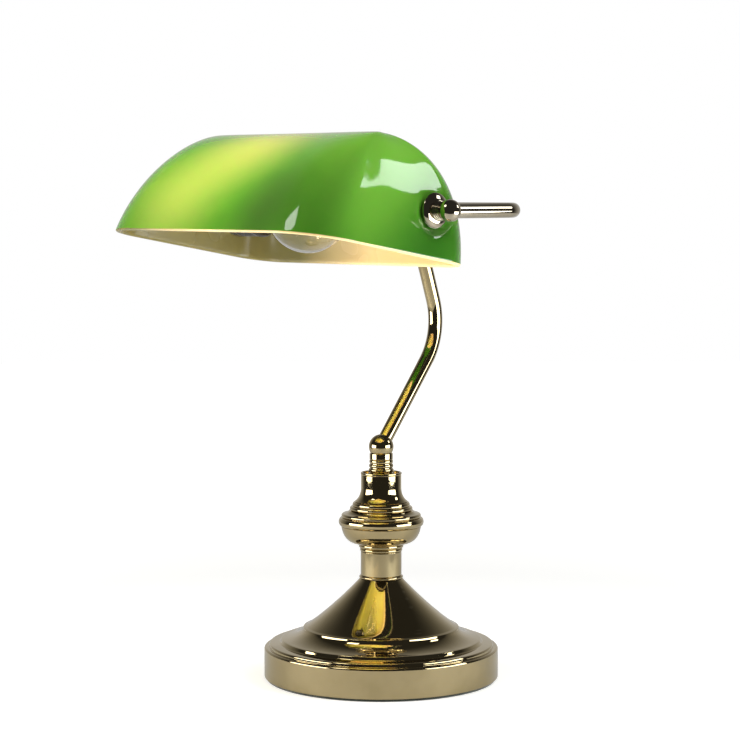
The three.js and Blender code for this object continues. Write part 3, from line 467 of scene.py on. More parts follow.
@dataclass(frozen=True)
class OpalGlass(Finish):
    """The milky inner layer, with a satin gloss and slow patches of density."""

    # Both colours below are painted: shade over the far half of the inside, and a glow towards its top.
    painted_shade_olive: tuple[float, float, float] = (0.125, 0.12, 0.038)
    painted_glow_top: tuple[float, float, float] = (0.82, 0.84, 0.24)

    def dress(self, sheet: NodeSheet, shader: bpy.types.Node) -> None:
        """Adds depth, a painted olive shade over the far half, a painted yellow-green glow high inside,
        and a soft ripple.
        """
        super().dress(sheet, shader)
        parts = sheet.node("SeparateXYZ")
        sheet.link(sheet.node("TexCoord").outputs["Object"], parts.inputs[0])
        clouds = effect_mask(sheet, Effect.CLOUDS, Scale=self.patch_scale)
        # Painted shade: the inside darkens to olive towards the far end.
        through = sheet.span(parts.outputs["X"], -0.06, 0.012, 0.95, 0.0)
        tone = sheet.mix(clouds, self.deep, self.light)
        tone = sheet.mix(through, tone, self.painted_shade_olive)
        # Painted light: the inside turns bright yellow-green towards the top.
        high = sheet.span(parts.outputs["Z"], 0.325, 0.36, 0.0, 0.8)
        sheet.link(sheet.mix(high, tone, self.painted_glow_top), shader.inputs["Base Color"])
        shader.inputs["Subsurface Weight"].default_value = 0.3
        shader.inputs["Subsurface Radius"].default_value = (1.0, 0.8, 0.4)
        shader.inputs["Subsurface Scale"].default_value = 0.008
        wave = effect_mask(sheet, Effect.CLOUDS, Scale=34.0, Low=0.1, High=0.9)
        self.bump(sheet, shader, wave, 0.0001)


@dataclass(frozen=True)
class GrainedSolid(Finish):
    """A dull solid with a fine grain: felt, casting, fibre, rubber, bakelite or ceramic."""

    grain_scale: float = 1500.0
    grain_depth: float = 0.0001
    gloss_coat: float = 0.0
    fuzz: float = 0.0

    def dress(self, sheet: NodeSheet, shader: bpy.types.Node) -> None:
        """Adds the grain's relief and any glaze or fuzz."""
        super().dress(sheet, shader)
        shader.inputs["Coat Weight"].default_value = self.gloss_coat
        shader.inputs["Coat Roughness"].default_value = 0.08
        shader.inputs["Sheen Weight"].default_value = self.fuzz
        grain = effect_mask(sheet, Effect.GRAIN, Scale=self.grain_scale)
        self.bump(sheet, shader, grain, self.grain_depth)


@dataclass(frozen=True)
class ClearGlass(Finish):
    """Thin clear glass with a trace of film."""

    def dress(self, sheet: NodeSheet, shader: bpy.types.Node) -> None:
        """Adds the glass's clearness to the film."""
        super().dress(sheet, shader)
        shader.inputs["Transmission Weight"].default_value = 1.0
        shader.inputs["IOR"].default_value = 1.48


BRASS = PlatedMetal(
    "polished_brass_warm",
    light=(0.58, 0.47, 0.26),
    deep=(0.51, 0.41, 0.215),
    roughness=0.02,
    roughness_spread=0.025,
    edge=(0.86, 0.74, 0.48),
    lacquer=0.35,
)
CHAMPAGNE = PlatedMetal(
    "polished_brass_pale",
    light=(0.62, 0.545, 0.41),
    deep=(0.54, 0.47, 0.34),
    roughness=0.02,
    roughness_spread=0.025,
    edge=(0.88, 0.80, 0.64),
    lacquer=0.35,
)
NICKEL = PlatedMetal(
    "nickel_plate_thread",
    light=(0.72, 0.70, 0.66),
    deep=(0.55, 0.53, 0.49),
    roughness=0.18,
    roughness_spread=0.12,
    edge=(0.85, 0.84, 0.80),
)
ZINC = PlatedMetal(
    "zinc_steel_bright",
    light=(0.62, 0.63, 0.64),
    deep=(0.42, 0.43, 0.44),
    roughness=0.28,
    roughness_spread=0.16,
    patch_scale=120.0,
    edge=(0.78, 0.78, 0.78),
)
TUNGSTEN = PlatedMetal(
    "tungsten_wire",
    light=(0.34, 0.32, 0.30),
    deep=(0.22, 0.21, 0.20),
    roughness=0.4,
    roughness_spread=0.1,
    patch_scale=400.0,
    edge=(0.5, 0.48, 0.45),
)
GREEN_GLASS = CasedGlass(
    "green_cased_glass_outer",
    light=(0.105, 0.33, 0.026),
    deep=(0.075, 0.27, 0.018),
    roughness=0.05,
    roughness_spread=0.03,
    patch_scale=70.0,
)
OPAL_GLASS = OpalGlass(
    "green_cased_glass_opal",
    light=(0.84, 0.66, 0.37),
    deep=(0.76, 0.59, 0.32),
    roughness=0.22,
    roughness_spread=0.08,
    patch_scale=14.0,
)
FELT = GrainedSolid(
    "felt_pad_green",
    light=(0.030, 0.042, 0.034),
    deep=(0.016, 0.024, 0.019),
    roughness=0.93,
    roughness_spread=0.05,
    patch_scale=90.0,
    grain_scale=2600.0,
    grain_depth=0.0004,
    fuzz=0.6,
)
IRON = GrainedSolid(
    "cast_iron_black",
    light=(0.05, 0.05, 0.052),
    deep=(0.028, 0.028, 0.03),
    roughness=0.6,
    roughness_spread=0.2,
    patch_scale=60.0,
    grain_scale=700.0,
    grain_depth=0.0005,
)
RUBBER = GrainedSolid(
    "moulded_rubber",
    light=(0.022, 0.022, 0.023),
    deep=(0.014, 0.014, 0.015),
    roughness=0.62,
    roughness_spread=0.12,
    patch_scale=160.0,
    grain_scale=3000.0,
    grain_depth=0.00004,
)
FIBRE = GrainedSolid(
    "vulcanised_fibre_red",
    light=(0.17, 0.055, 0.028),
    deep=(0.11, 0.034, 0.018),
    roughness=0.72,
    roughness_spread=0.12,
    patch_scale=260.0,
    grain_scale=2400.0,
    grain_depth=0.00006,
)
BAKELITE = GrainedSolid(
    "black_bakelite_moulded",
    light=(0.018, 0.016, 0.015),
    deep=(0.011, 0.010, 0.009),
    roughness=0.24,
    roughness_spread=0.1,
    patch_scale=90.0,
    grain_scale=1800.0,
    grain_depth=0.00002,
    gloss_coat=0.4,
)
CERAMIC = GrainedSolid(
    "white_ceramic_glazed",
    light=(0.80, 0.78, 0.72),
    deep=(0.70, 0.67, 0.60),
    roughness=0.3,
    roughness_spread=0.15,
    patch_scale=110.0,
    grain_scale=900.0,
    grain_depth=0.00003,
    gloss_coat=0.5,
)
BULB_GLASS = ClearGlass(
    "clear_glass_bulb",
    light=(1.0, 1.0, 1.0),
    deep=(0.97, 0.98, 0.97),
    roughness=0.0,
    roughness_spread=0.03,
    patch_scale=60.0,
)


# ---------- the maker's bench ----------
@dataclass(frozen=True)
class Corner:
    """A corner of a turned outline: its radius and height, and the radius that rounds it."""

    radius: float
    height: float
    round: float = 0.0


def rounded(corner: Vector, before: Vector, after: Vector, radius: float) -> list[Vector]:
    """Points of the arc that rounds one corner of a flat outline.

    Args:
        corner: the sharp corner.
        before: the outline's point before it.
        after: the outline's point after it.
        radius: the arc's radius, cut down where a side is too short for it.

    Returns:
        The arc's points in order, or the corner alone where nothing is rounded.
    """
    back, ahead = before - corner, after - corner
    if radius <= 0 or back.length < 1e-6 or ahead.length < 1e-6:
        return [corner]
    half = back.angle(ahead) / 2
    if half > math.radians(89):
        return [corner]
    reach = min(radius / math.tan(half), 0.49 * back.length, 0.49 * ahead.length)
    bend = reach * math.tan(half)
    back, ahead = back.normalized(), ahead.normalized()
    inward = (back + ahead).normalized()
    centre = corner + inward * (bend / math.sin(half))
    across, forward = -inward, (ahead - back).normalized()
    sweep = math.pi - 2 * half
    steps = max(3, math.ceil(math.degrees(sweep) / 11))
    points = []
    for i in range(steps + 1):
        angle = sweep * (i / steps - 0.5)
        spoke = across * math.cos(angle) + forward * math.sin(angle)
        points.append(centre + spoke * bend)
    return points


def outline(corners: Sequence[Corner], closed: bool = True) -> list[Vector]:
    """A turned piece's outline, with its corners rounded and its flats guarded.

    Args:
        corners: the outline's corners in order.
        closed: whether the last corner runs back to the first.

    Returns:
        Points as (radius, height). A flat has a point close to each of its ends, so that the
        smooth shading of a rounding stays out of it.
    """
    spots = [Vector((corner.radius, corner.height)) for corner in corners]
    count = len(spots)
    runs = []
    for i, corner in enumerate(corners):
        ends = not closed and i in (0, count - 1)
        runs.append(
            [spots[i]]
            if ends
            else rounded(spots[i], spots[i - 1], spots[(i + 1) % count], corner.round)
        )
    guard = 0.25
    points = []
    for i, run in enumerate(runs):
        points.extend(run)
        if not closed and i == count - 1:
            break
        start, end = run[-1], runs[(i + 1) % count][0]
        if (end - start).length > 3 * guard:
            along = (end - start).normalized() * guard
            points.extend([start + along, end - along])
    return points


def sweep(
    start: tuple[float, float],
    lead_out: tuple[float, float],
    lead_in: tuple[float, float],
    end: tuple[float, float],
    steps: int = 14,
) -> list[Corner]:
    """A smooth cove or bell between two points of an outline.

    Args:
        start: the first radius and height.
        lead_out: the point that the curve first heads for.
        lead_in: the point that it last comes from.
        end: the last radius and height.
        steps: how many pieces the curve is cut into.

    Returns:
        The curve's points as unrounded corners, both ends included.
    """
    corners = []
    for i in range(steps + 1):
        t = i / steps
        share = ((1 - t) ** 3, 3 * t * (1 - t) ** 2, 3 * t * t * (1 - t), t**3)
        radius, height = (
            sum(part * point[axis] for part, point in zip(share, (start, lead_out, lead_in, end)))
            for axis in (0, 1)
        )
        corners.append(Corner(radius, height))
    return corners


def bead(low: Corner, high: Corner, depth: float, steps: int = 8) -> list[Corner]:
    """A round bead that bulges outwards between two corners of an outline.

    Args:
        low: where it starts.
        high: where it ends.
        depth: how far its middle stands out.
        steps: how many pieces the round is cut into.

    Returns:
        The bead's points as unrounded corners.
    """
    corners = []
    for i in range(steps + 1):
        angle = math.pi * (i / steps - 0.5)
        share = (1 + math.sin(angle)) / 2
        radius = low.radius + (high.radius - low.radius) * share
        height = low.height + (high.height - low.height) * share
        corners.append(Corner(radius + depth * math.cos(angle), height))
    return corners


def spin_about_z(
    bm: bmesh.types.BMesh, geom: list, steps: int, turns: int = 1, rise: float = 0.0
) -> None:
    """Spins geometry about +Z, closed in one turn or climbing as a helix.

    Args:
        bm: the mesh that it is in.
        geom: the points and edges to spin.
        steps: how many steps one turn has.
        turns: how many turns are made.
        rise: how far each step climbs in metres, 0 for a closed round.
    """
    bmesh.ops.spin(
        bm,
        geom=geom,
        cent=(0, 0, 0),
        axis=(0, 0, 1),
        dvec=(0, 0, rise),
        angle=TURN * turns,
        steps=steps * turns,
        use_merge=rise == 0.0,
        use_duplicate=False,
    )


def extruded(
    bm: bmesh.types.BMesh, edges: list[bmesh.types.BMEdge]
) -> tuple[list[bmesh.types.BMVert], list[bmesh.types.BMEdge]]:
    """Extrudes a run of edges without moving it.

    Args:
        bm: the mesh that it is in.
        edges: the run.

    Returns:
        The new run's points and its edges.
    """
    made = bmesh.ops.extrude_edge_only(bm, edges=edges)["geom"]
    verts = [item for item in made if isinstance(item, bmesh.types.BMVert)]
    fresh = set(verts)
    lines = [item for item in made if isinstance(item, bmesh.types.BMEdge)]
    return verts, [line for line in lines if set(line.verts) <= fresh]


def turn_piece(points: Sequence[Vector], closed: bool = True, steps: int = 96) -> bmesh.types.BMesh:
    """Spins an outline about +Z into a closed solid.

    Args:
        points: the outline as (radius, height) in millimetres.
        closed: whether the outline is a loop; an open one starts and ends on the axis.
        steps: how many sides the round has.

    Returns:
        The turned mesh, in metres.
    """
    bm = bmesh.new()
    verts = [bm.verts.new((point.x * MM, 0.0, point.y * MM)) for point in points]
    pairs = list(zip(verts, verts[1:])) + ([(verts[-1], verts[0])] if closed else [])
    edges = [bm.edges.new(pair) for pair in pairs]
    spin_about_z(bm, verts + edges, steps)
    bmesh.ops.remove_doubles(bm, verts=bm.verts, dist=1e-7)
    bmesh.ops.recalc_face_normals(bm, faces=bm.faces)
    return bm


def turned(corners: Sequence[Corner], steps: int = 96) -> bmesh.types.BMesh:
    """A closed loop of corners spun about +Z."""
    return turn_piece(outline(corners), steps=steps)


def aim(centre: Vector, direction: Vector) -> Matrix:
    """A placing that turns +Z to a direction and moves the origin to a point."""
    turn = Vector((0, 0, 1)).rotation_difference(direction)
    return Matrix.Translation(centre) @ turn.to_matrix().to_4x4()


def joined(*parts: bmesh.types.BMesh) -> bmesh.types.BMesh:
    """Puts several meshes into the first one and frees the others."""
    whole = parts[0]
    for part in parts[1:]:
        holder = bpy.data.meshes.new("holder")
        part.to_mesh(holder)
        whole.from_mesh(holder)
        part.free()
        bpy.data.meshes.remove(holder)
    return whole


class TubeBender:
    """Draws a round tube along straight runs and bends, as a bending machine does."""

    def __init__(self, start: Vector, heading: Vector, plane: Vector, radius: float) -> None:
        """Sets out the tube's first ring.

        Args:
            start: the middle of the first ring, in metres.
            heading: the direction in which the tube leaves.
            plane: the axis about which every bend turns.
            radius: the tube's radius in millimetres.
        """
        self.bm = bmesh.new()
        self.plane = plane.normalized()
        self.heading = heading.normalized()
        self.place = start.copy()
        bmesh.ops.create_circle(
            self.bm, segments=40, radius=radius * MM, matrix=aim(start, self.heading)
        )
        self.ring = list(self.bm.edges)

    def straight(self, length: float, steps: int = 1) -> None:
        """Draws the tube straight on.

        Args:
            length: the run in metres.
            steps: how many rings it takes.
        """
        for _ in range(steps):
            verts, self.ring = extruded(self.bm, self.ring)
            bmesh.ops.translate(self.bm, verts=verts, vec=self.heading * (length / steps))
        self.place = self.place + self.heading * length

    def bend(self, angle: float, radius: float) -> None:
        """Bends the tube about the plane's axis.

        Args:
            angle: the turn in radians, by the right-hand rule.
            radius: the bend's radius in metres, at the tube's middle.
        """
        side = self.plane.cross(self.heading) * math.copysign(1.0, angle)
        centre = self.place + side * radius
        steps = max(6, math.ceil(abs(math.degrees(angle)) / 3))
        verts = list({vert for edge in self.ring for vert in edge.verts})
        made = bmesh.ops.spin(
            self.bm,
            geom=verts + self.ring,
            cent=centre,
            axis=self.plane,
            dvec=(0, 0, 0),
            angle=angle,
            steps=steps,
            use_merge=False,
            use_duplicate=False,
        )["geom_last"]
        self.ring = [item for item in made if isinstance(item, bmesh.types.BMEdge)]
        turn = Matrix.Rotation(angle, 3, self.plane)
        self.place = centre + turn @ (self.place - centre)
        self.heading = turn @ self.heading

    def finish(self, wall: float) -> bmesh.types.BMesh:
        """Gives the tube its wall.

        Args:
            wall: its thickness in millimetres, inwards.

        Returns:
            The hollow tube.
        """
        bmesh.ops.recalc_face_normals(self.bm, faces=self.bm.faces)
        bmesh.ops.solidify(self.bm, geom=list(self.bm.faces), thickness=wall * MM)
        return self.bm


@dataclass
class Bench:
    """Turns finished meshes into pieces that ride on the frame, and reports them."""

    delivered: list[str] = field(default_factory=list)

    def deliver(
        self,
        name: str,
        bm: bmesh.types.BMesh,
        finishes: Sequence[Finish],
        body: Body,
        slot: Slot,
        nodes: Sequence[str] = (),
        sharp: float = 33.0,
    ) -> bpy.types.Object:
        """Makes a piece of a mesh.

        Args:
            name: the piece's name.
            bm: its mesh, which is freed.
            finishes: its finishes, in the order of the faces' material numbers.
            body: the body that it moves with.
            slot: the record's slot, not used.
            nodes: the frame's nodes that it stands for.
            sharp: the angle in degrees past which an edge is left crisp.

        Returns:
            The piece's object.
        """
        limit = math.radians(sharp)
        for face in bm.faces:
            face.smooth = True
        for edge in bm.edges:
            edge.smooth = edge.calc_face_angle(0.0) < limit
        mesh = bpy.data.meshes.new(name)
        bm.to_mesh(mesh)
        bm.free()
        piece = bpy.data.objects.new(name, mesh)
        bpy.context.scene.collection.objects.link(piece)
        for finish in finishes:
            mesh.materials.append(finish.material())
        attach(piece, body.value)
        if nodes:
            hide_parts(*nodes)
        self.delivered.append(name)
        log.info("%s: %d faces on %s", name, len(mesh.polygons), body.value)
        return piece

    def on_stand(
        self, name: str, bm: bmesh.types.BMesh, finish: Finish, slot: Slot, node: str
    ) -> None:
        """Makes a piece of the stand in one finish, in place of one node.

        Args:
            name: the piece's name.
            bm: its mesh, which is freed.
            finish: its finish.
            slot: the record's slot, handed on to deliver.
            node: the frame's node that it stands for.
        """
        self.deliver(name, bm, [finish], Body.STAND, slot, [node])

    def dress(self, finish: Finish, *nodes: str) -> None:
        """Gives kept nodes of the frame their finish."""
        for name in nodes:
            node = frame["nodes"][name]
            if not node.material_slots:
                node.data.materials.append(finish.material())
            for place in node.material_slots:
                place.material = finish.material()
            log.info("%s: kept from the frame, in %s", name, finish.name)


@dataclass(frozen=True)
class Seat:
    """Where a node of the frame sits: its foot, top, radius and middle, in millimetres."""

    foot: float
    top: float
    radius: float
    middle: Vector

    @classmethod
    def of(cls, node: str) -> "Seat":
        """Reads a node's box."""
        low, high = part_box(node)
        return cls(low.z / MM, high.z / MM, (high.x - low.x) / 2 / MM, (low + high) / 2)


def on_axis(node: str, side: int) -> tuple[Matrix, float, float]:
    """Where a node on the knob axis starts, how long it is and its radius.

    Args:
        node: the node's name.
        side: 1 where it runs towards +X, -1 towards -X.

    Returns:
        A placing with +Z along its run, its length and its radius in millimetres.
    """
    low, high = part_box(node)
    start = Vector((low.x if side > 0 else high.x, (low.y + high.y) / 2, (low.z + high.z) / 2))
    place = aim(start, Vector((side, 0, 0)))
    return place, (high.x - low.x) / MM, (high.z - low.z) / 2 / MM


# ---------- base ----------
@dataclass
class WeightedBase:
    """The round brass foot with its felt, iron weight, nut and cord inlet."""

    wall: float = 1.5
    shoulder: float = 3.0
    felt_round: float = 0.5
    bush_bore: float = 3.0

    def build(self, bench: Bench) -> None:
        """Makes the base's pieces."""
        self.make_felt(bench)
        self.make_shell(bench)
        self.make_bush(bench)
        bench.dress(IRON, "ballast_weight")
        bench.dress(ZINC, "base_washer", "base_nut")

    def make_felt(self, bench: Bench) -> None:
        """The pad under the foot, with a softened edge."""
        seat = Seat.of("felt_pad")
        points = outline(
            [
                Corner(0, seat.foot),
                Corner(seat.radius, seat.foot, self.felt_round),
                Corner(seat.radius, seat.top, self.felt_round),
                Corner(0, seat.top),
            ],
            closed=False,
        )
        disc = turn_piece(points, closed=False)
        bench.on_stand("felt_disc", disc, FELT, Slot.FELT, "felt_pad")

    def make_shell(self, bench: Bench) -> None:
        """The spun shell: an upright wall, two stepped mouldings and the bell above them."""
        seat = Seat.of("base_shell")
        rim, foot, top = seat.radius, seat.foot, seat.top
        step = rim - 3.1
        terrace = step - 8.2
        lip = rim - 29.1
        neck = lip - 38.0
        cove = sweep(
            (terrace - 1.0, foot + 26.5),
            (rim - 18, foot + 27.1),
            (lip + 3.5, foot + 29.3),
            (lip + 1.8, foot + 33.6),
        )
        bell = sweep(
            (lip, foot + 35.0), (lip - 7.0, foot + 38.8), (neck + 11.0, top - 12.4), (neck, top), 40
        )
        outer = [
            Corner(rim, foot, 0.5),
            Corner(rim, foot + 20.9, self.shoulder),
            Corner(step - 0.2, foot + 21.0, 0.4),
            Corner(step - 0.5, foot + 23.3, 1.3),
            Corner(terrace + 0.2, foot + 24.0, 1.2),
            Corner(terrace - 1.0, foot + 26.4, 0.6),
            *cove[1:],
            Corner(lip + 1.5, foot + 34.6, 0.5),
            *bell[1:],
        ]
        inner = [
            Corner(PIPE_BORE, top),
            Corner(PIPE_BORE, top - self.wall),
            *[Corner(spot.radius - 1.0, spot.height - self.wall) for spot in reversed(bell[4:-4:4])],
            Corner(lip - 0.6, foot + 34.6 - self.wall),
            Corner(lip + 2.0, foot + 27.4),
            Corner(terrace - 2.0, foot + 24.6),
            Corner(terrace - 0.6, foot + 22.4),
            Corner(step - 1.4, foot + 21.4),
            Corner(rim - self.wall, foot + 17.5),
            Corner(rim - self.wall, foot),
        ]
        shell = turned(outer + inner, steps=144)
        bench.on_stand("brass_foot", shell, BRASS, Slot.BRASS, "base_shell")

    def make_bush(self, bench: Bench) -> None:
        """The rubber bush in the cord inlet, at the back."""
        low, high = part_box("cord_bush")
        radius = (high.x - low.x) / 2 / MM
        length = (high.y - low.y) / MM
        flange = 1.4
        body = radius - 2.0
        bush = turned(
            [
                Corner(self.bush_bore, 0.0, 0.3),
                Corner(body, 0.0, 0.3),
                Corner(body, length - flange, 0.1),
                Corner(radius, length - flange, 0.3),
                Corner(radius, length, 0.7),
                Corner(self.bush_bore, length, 0.5),
            ],
            steps=48,
        )
        middle = (low + high) / 2
        bush.transform(aim(Vector((middle.x, low.y, middle.z)), Vector((0, 1, 0))))
        bench.on_stand("inlet_bush", bush, RUBBER, Slot.RUBBER, "cord_bush")


# ---------- column ----------
@dataclass
class TurnedColumn:
    """The stack of turned brass pieces between the bell and the arm."""

    seam: float = 0.2
    crisp: float = 0.35

    def build(self, bench: Bench) -> None:
        """Makes each turned piece and dresses the pipe that clamps them."""
        shapes = {
            "seat_ring": self.seat_ring,
            "neck_sleeve": self.neck,
            "bowl_foot_bead": self.foot_bead,
            "column_bowl": self.bowl,
            "bowl_rim_ring": self.rim_ring,
            "step_ring": self.step_ring,
            "upper_ring": self.upper_ring,
            "collar_cup": self.collar,
            "ribbed_coupling": self.coupling,
        }
        for node, shape in shapes.items():
            seat = Seat.of(node)
            corners = shape(Seat(seat.foot, seat.top + self.seam, seat.radius, seat.middle))
            bench.on_stand("turned_" + node, turned(corners), BRASS, Slot.BRASS, node)
        bench.dress(ZINC, "threaded_pipe")

    def seat_ring(self, seat: Seat) -> list[Corner]:
        """The thin ring on top of the bell, with a spigot inside the neck."""
        shoulder = seat.foot + 1.8
        return [
            Corner(PIPE_BORE, seat.foot),
            *bead(Corner(seat.radius - 0.8, seat.foot), Corner(seat.radius - 0.8, shoulder), 0.8),
            Corner(seat.radius - 3.5, shoulder),
            Corner(seat.radius - 3.5, seat.top),
            Corner(PIPE_BORE, seat.top),
        ]

    def neck(self, seat: Seat) -> list[Corner]:
        """The plain sleeve."""
        inside = seat.radius - 2.0
        return [
            Corner(inside, seat.foot),
            Corner(seat.radius, seat.foot, self.crisp),
            Corner(seat.radius, seat.top, self.crisp),
            Corner(inside, seat.top),
        ]

    def foot_bead(self, seat: Seat) -> list[Corner]:
        """A small and a larger bead under the bowl, with a spigot in the neck."""
        shoulder = seat.top - self.seam - 5.0
        spigot = seat.radius - 3.5
        small = seat.radius - 1.5
        return [
            Corner(PIPE_BORE, seat.foot),
            Corner(spigot, seat.foot),
            Corner(spigot, shoulder),
            *bead(Corner(small, shoulder), Corner(small, shoulder + 2.1), 0.7),
            *bead(Corner(small + 0.5, shoulder + 2.3), Corner(small + 0.5, seat.top), 1.0),
            Corner(PIPE_BORE, seat.top),
        ]

    def bowl(self, seat: Seat) -> list[Corner]:
        """The bowl that swells out to the wide rings."""
        foot, rim = seat.foot, seat.radius
        start = rim - 11.8
        wall = sweep(
            (start, foot), (rim - 4.2, foot + 0.4), (rim - 1.2, foot + 5.2), (rim, seat.top - 0.3), 20
        )
        return [
            Corner(PIPE_BORE, foot),
            *wall,
            Corner(rim - 0.3, seat.top),
            Corner(rim - 1.6, seat.top),
            Corner(rim - 3.0, foot + 6.1),
            Corner(start + 1.6, foot + 2.2),
            Corner(start - 1.9, foot + 1.6),
            Corner(PIPE_BORE, foot + 1.6),
        ]

    def rim_ring(self, seat: Seat) -> list[Corner]:
        """The widest ring, a full round."""
        inset = seat.radius - 1.9
        return [
            Corner(PIPE_BORE, seat.foot),
            *bead(Corner(inset, seat.foot), Corner(inset, seat.top), 1.9, 12),
            Corner(PIPE_BORE, seat.top),
        ]

    def step_ring(self, seat: Seat) -> list[Corner]:
        """A narrower ring with a rolled top."""
        rim, foot = seat.radius, seat.foot
        shelf = sweep(
            (rim - 1.9, foot + 2.8),
            (rim - 3.0, foot + 3.0),
            (rim - 5.0, foot + 3.6),
            (rim - 5.4, seat.top),
            8,
        )
        return [
            Corner(PIPE_BORE, foot),
            Corner(rim - 0.6, foot, 0.3),
            *bead(Corner(rim - 0.9, foot + 0.3), Corner(rim - 1.4, foot + 2.7), 0.9),
            *shelf,
            Corner(PIPE_BORE, seat.top),
        ]

    def upper_ring(self, seat: Seat) -> list[Corner]:
        """Two rounds of falling width under the collar."""
        rim, foot = seat.radius, seat.foot
        return [
            Corner(PIPE_BORE, foot),
            *bead(Corner(rim - 1.3, foot), Corner(rim - 1.3, foot + 3.0), 1.3),
            *bead(Corner(rim - 2.4, foot + 3.1), Corner(rim - 3.0, seat.top), 0.8),
            Corner(PIPE_BORE, seat.top),
        ]

    def collar(self, seat: Seat) -> list[Corner]:
        """The tall collar, flared at its foot and cupped around the coupling."""
        flare, foot, top = seat.radius, seat.foot, seat.top - self.seam
        wall = flare - 4.4
        recess = top - 3.0
        skirt = sweep(
            (flare, foot + 0.4),
            (flare - 2.0, foot + 1.7),
            (wall + 0.1, foot + 4.6),
            (wall, foot + 9.5),
            18,
        )
        return [
            Corner(PIPE_BORE, foot),
            Corner(flare - 0.4, foot, 0.2),
            *skirt,
            Corner(wall, top - 1.6, 0.3),
            Corner(wall + 0.25, top - 1.2, 0.2),
            Corner(wall + 0.25, top, 0.45),
            Corner(wall - 1.2, top, 0.45),
            Corner(wall - 1.4, recess, 0.3),
            Corner(PIPE_BORE, recess),
        ]

    def coupling(self, seat: Seat) -> list[Corner]:
        """Four ribs under a plain collar."""
        pitch = 3.0
        barrel = 8.2
        corners = [Corner(PIPE_BORE, seat.foot)]
        for rib in range(4):
            low = seat.foot + rib * pitch
            depth = 1.3 - 0.25 * rib
            corners += bead(Corner(barrel - 0.4, low), Corner(barrel - 0.4, low + 0.85 * pitch), depth)
        corners += [
            Corner(barrel, seat.foot + 4 * pitch, 0.3),
            Corner(barrel, seat.top, self.crisp),
            Corner(PIPE_BORE, seat.top),
        ]
        return corners


# ---------- arm and yoke ----------
@dataclass
class BallFitting:
    """A solid ball with a flat seat and a drilled socket for a tube."""

    radius: float
    seat_depth: float
    socket: float

    def shape(self, centre: Vector, tube: Vector, seat: Vector) -> bmesh.types.BMesh:
        """Turns the ball about its tube and cuts its seat.

        Args:
            centre: the ball's middle in metres.
            tube: the direction in which the tube leaves.
            seat: the direction from the middle to the flat seat.

        Returns:
            The ball's mesh in place.
        """
        mouth = math.asin((self.socket + 0.35) / self.radius)
        arc = []
        steps = 40
        for i in range(steps + 1):
            angle = mouth + (math.pi - mouth) * i / steps
            arc.append(Vector((self.radius * math.sin(angle), self.radius * math.cos(angle))))
        arc[-1].x = 0.0
        depth = 0.55 * self.radius
        lip = arc[0]
        start = [Vector((0, depth)), Vector((self.socket, depth)), Vector((self.socket, lip.y - 0.15))]
        bm = turn_piece(start + arc, closed=False, steps=72)
        bm.transform(aim(centre, tube))
        cut = bmesh.ops.bisect_plane(
            bm,
            geom=list(bm.verts) + list(bm.edges) + list(bm.faces),
            dist=1e-7,
            plane_co=centre + seat * (self.seat_depth * MM),
            plane_no=seat,
            clear_outer=True,
            clear_inner=False,
        )["geom_cut"]
        rim = [item for item in cut if isinstance(item, bmesh.types.BMEdge)]
        bmesh.ops.edgeloop_fill(bm, edges=rim)
        bmesh.ops.recalc_face_normals(bm, faces=bm.faces)
        return bm


@dataclass
class BentArm:
    """The ball on the column and the arm that bends up to the yoke."""

    lean: float = math.radians(38.2)
    leg: float = 98.4
    head: float = 37.0
    knee: float = 46.0
    neck_bend: float = 160.0
    socket_depth: float = 4.9
    ball_seat: float = 4.5

    def build(self, bench: Bench) -> None:
        """Makes the ball and the arm's tube."""
        low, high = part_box("arm_ball")
        radius = (high.x - low.x) / 2 / MM
        ball = Vector(((low.x + high.x) / 2, (low.y + high.y) / 2, low.z + self.ball_seat * MM))
        leg_way = Vector((0, math.sin(self.lean), math.cos(self.lean)))
        fitting = BallFitting(radius, self.ball_seat, TUBE + SOCKET_PLAY)
        shape = fitting.shape(ball, leg_way, Vector((0, 0, -1)))
        bench.on_stand("seat_ball", shape, BRASS, Slot.BRASS, "arm_ball")

        tee = Seat.of("yoke_tee").middle
        way_in = Vector((0, -math.sin(HEAD_LEAN), math.cos(HEAD_LEAN)))
        start = ball + leg_way * (self.socket_depth * MM)
        knee = ball + leg_way * (self.leg * MM)
        crook = tee - way_in * (self.head * MM)
        shank = (crook - knee).normalized()
        plane = Vector((1, 0, 0))
        first = leg_way.angle(shank) * math.copysign(1.0, plane.dot(leg_way.cross(shank)))
        second = shank.angle(way_in) * math.copysign(1.0, plane.dot(shank.cross(way_in)))
        first_reach = self.knee * MM * math.tan(abs(first) / 2)
        room = 0.49 * min((crook - knee).length, (tee - crook).length)
        second_reach = min(self.neck_bend * MM * math.tan(abs(second) / 2), room)
        bender = TubeBender(start, leg_way, plane, TUBE)
        bender.straight((knee - start).length - first_reach, 8)
        bender.bend(first, self.knee * MM)
        bender.straight((crook - knee).length - first_reach - second_reach, 6)
        bender.bend(second, second_reach / math.tan(abs(second) / 2))
        bender.straight((tee - crook).length - second_reach - TEE_INSERT * MM, 4)
        bench.on_stand("bent_arm", bender.finish(TUBE_WALL), BRASS, Slot.BRASS, "arm_tube")


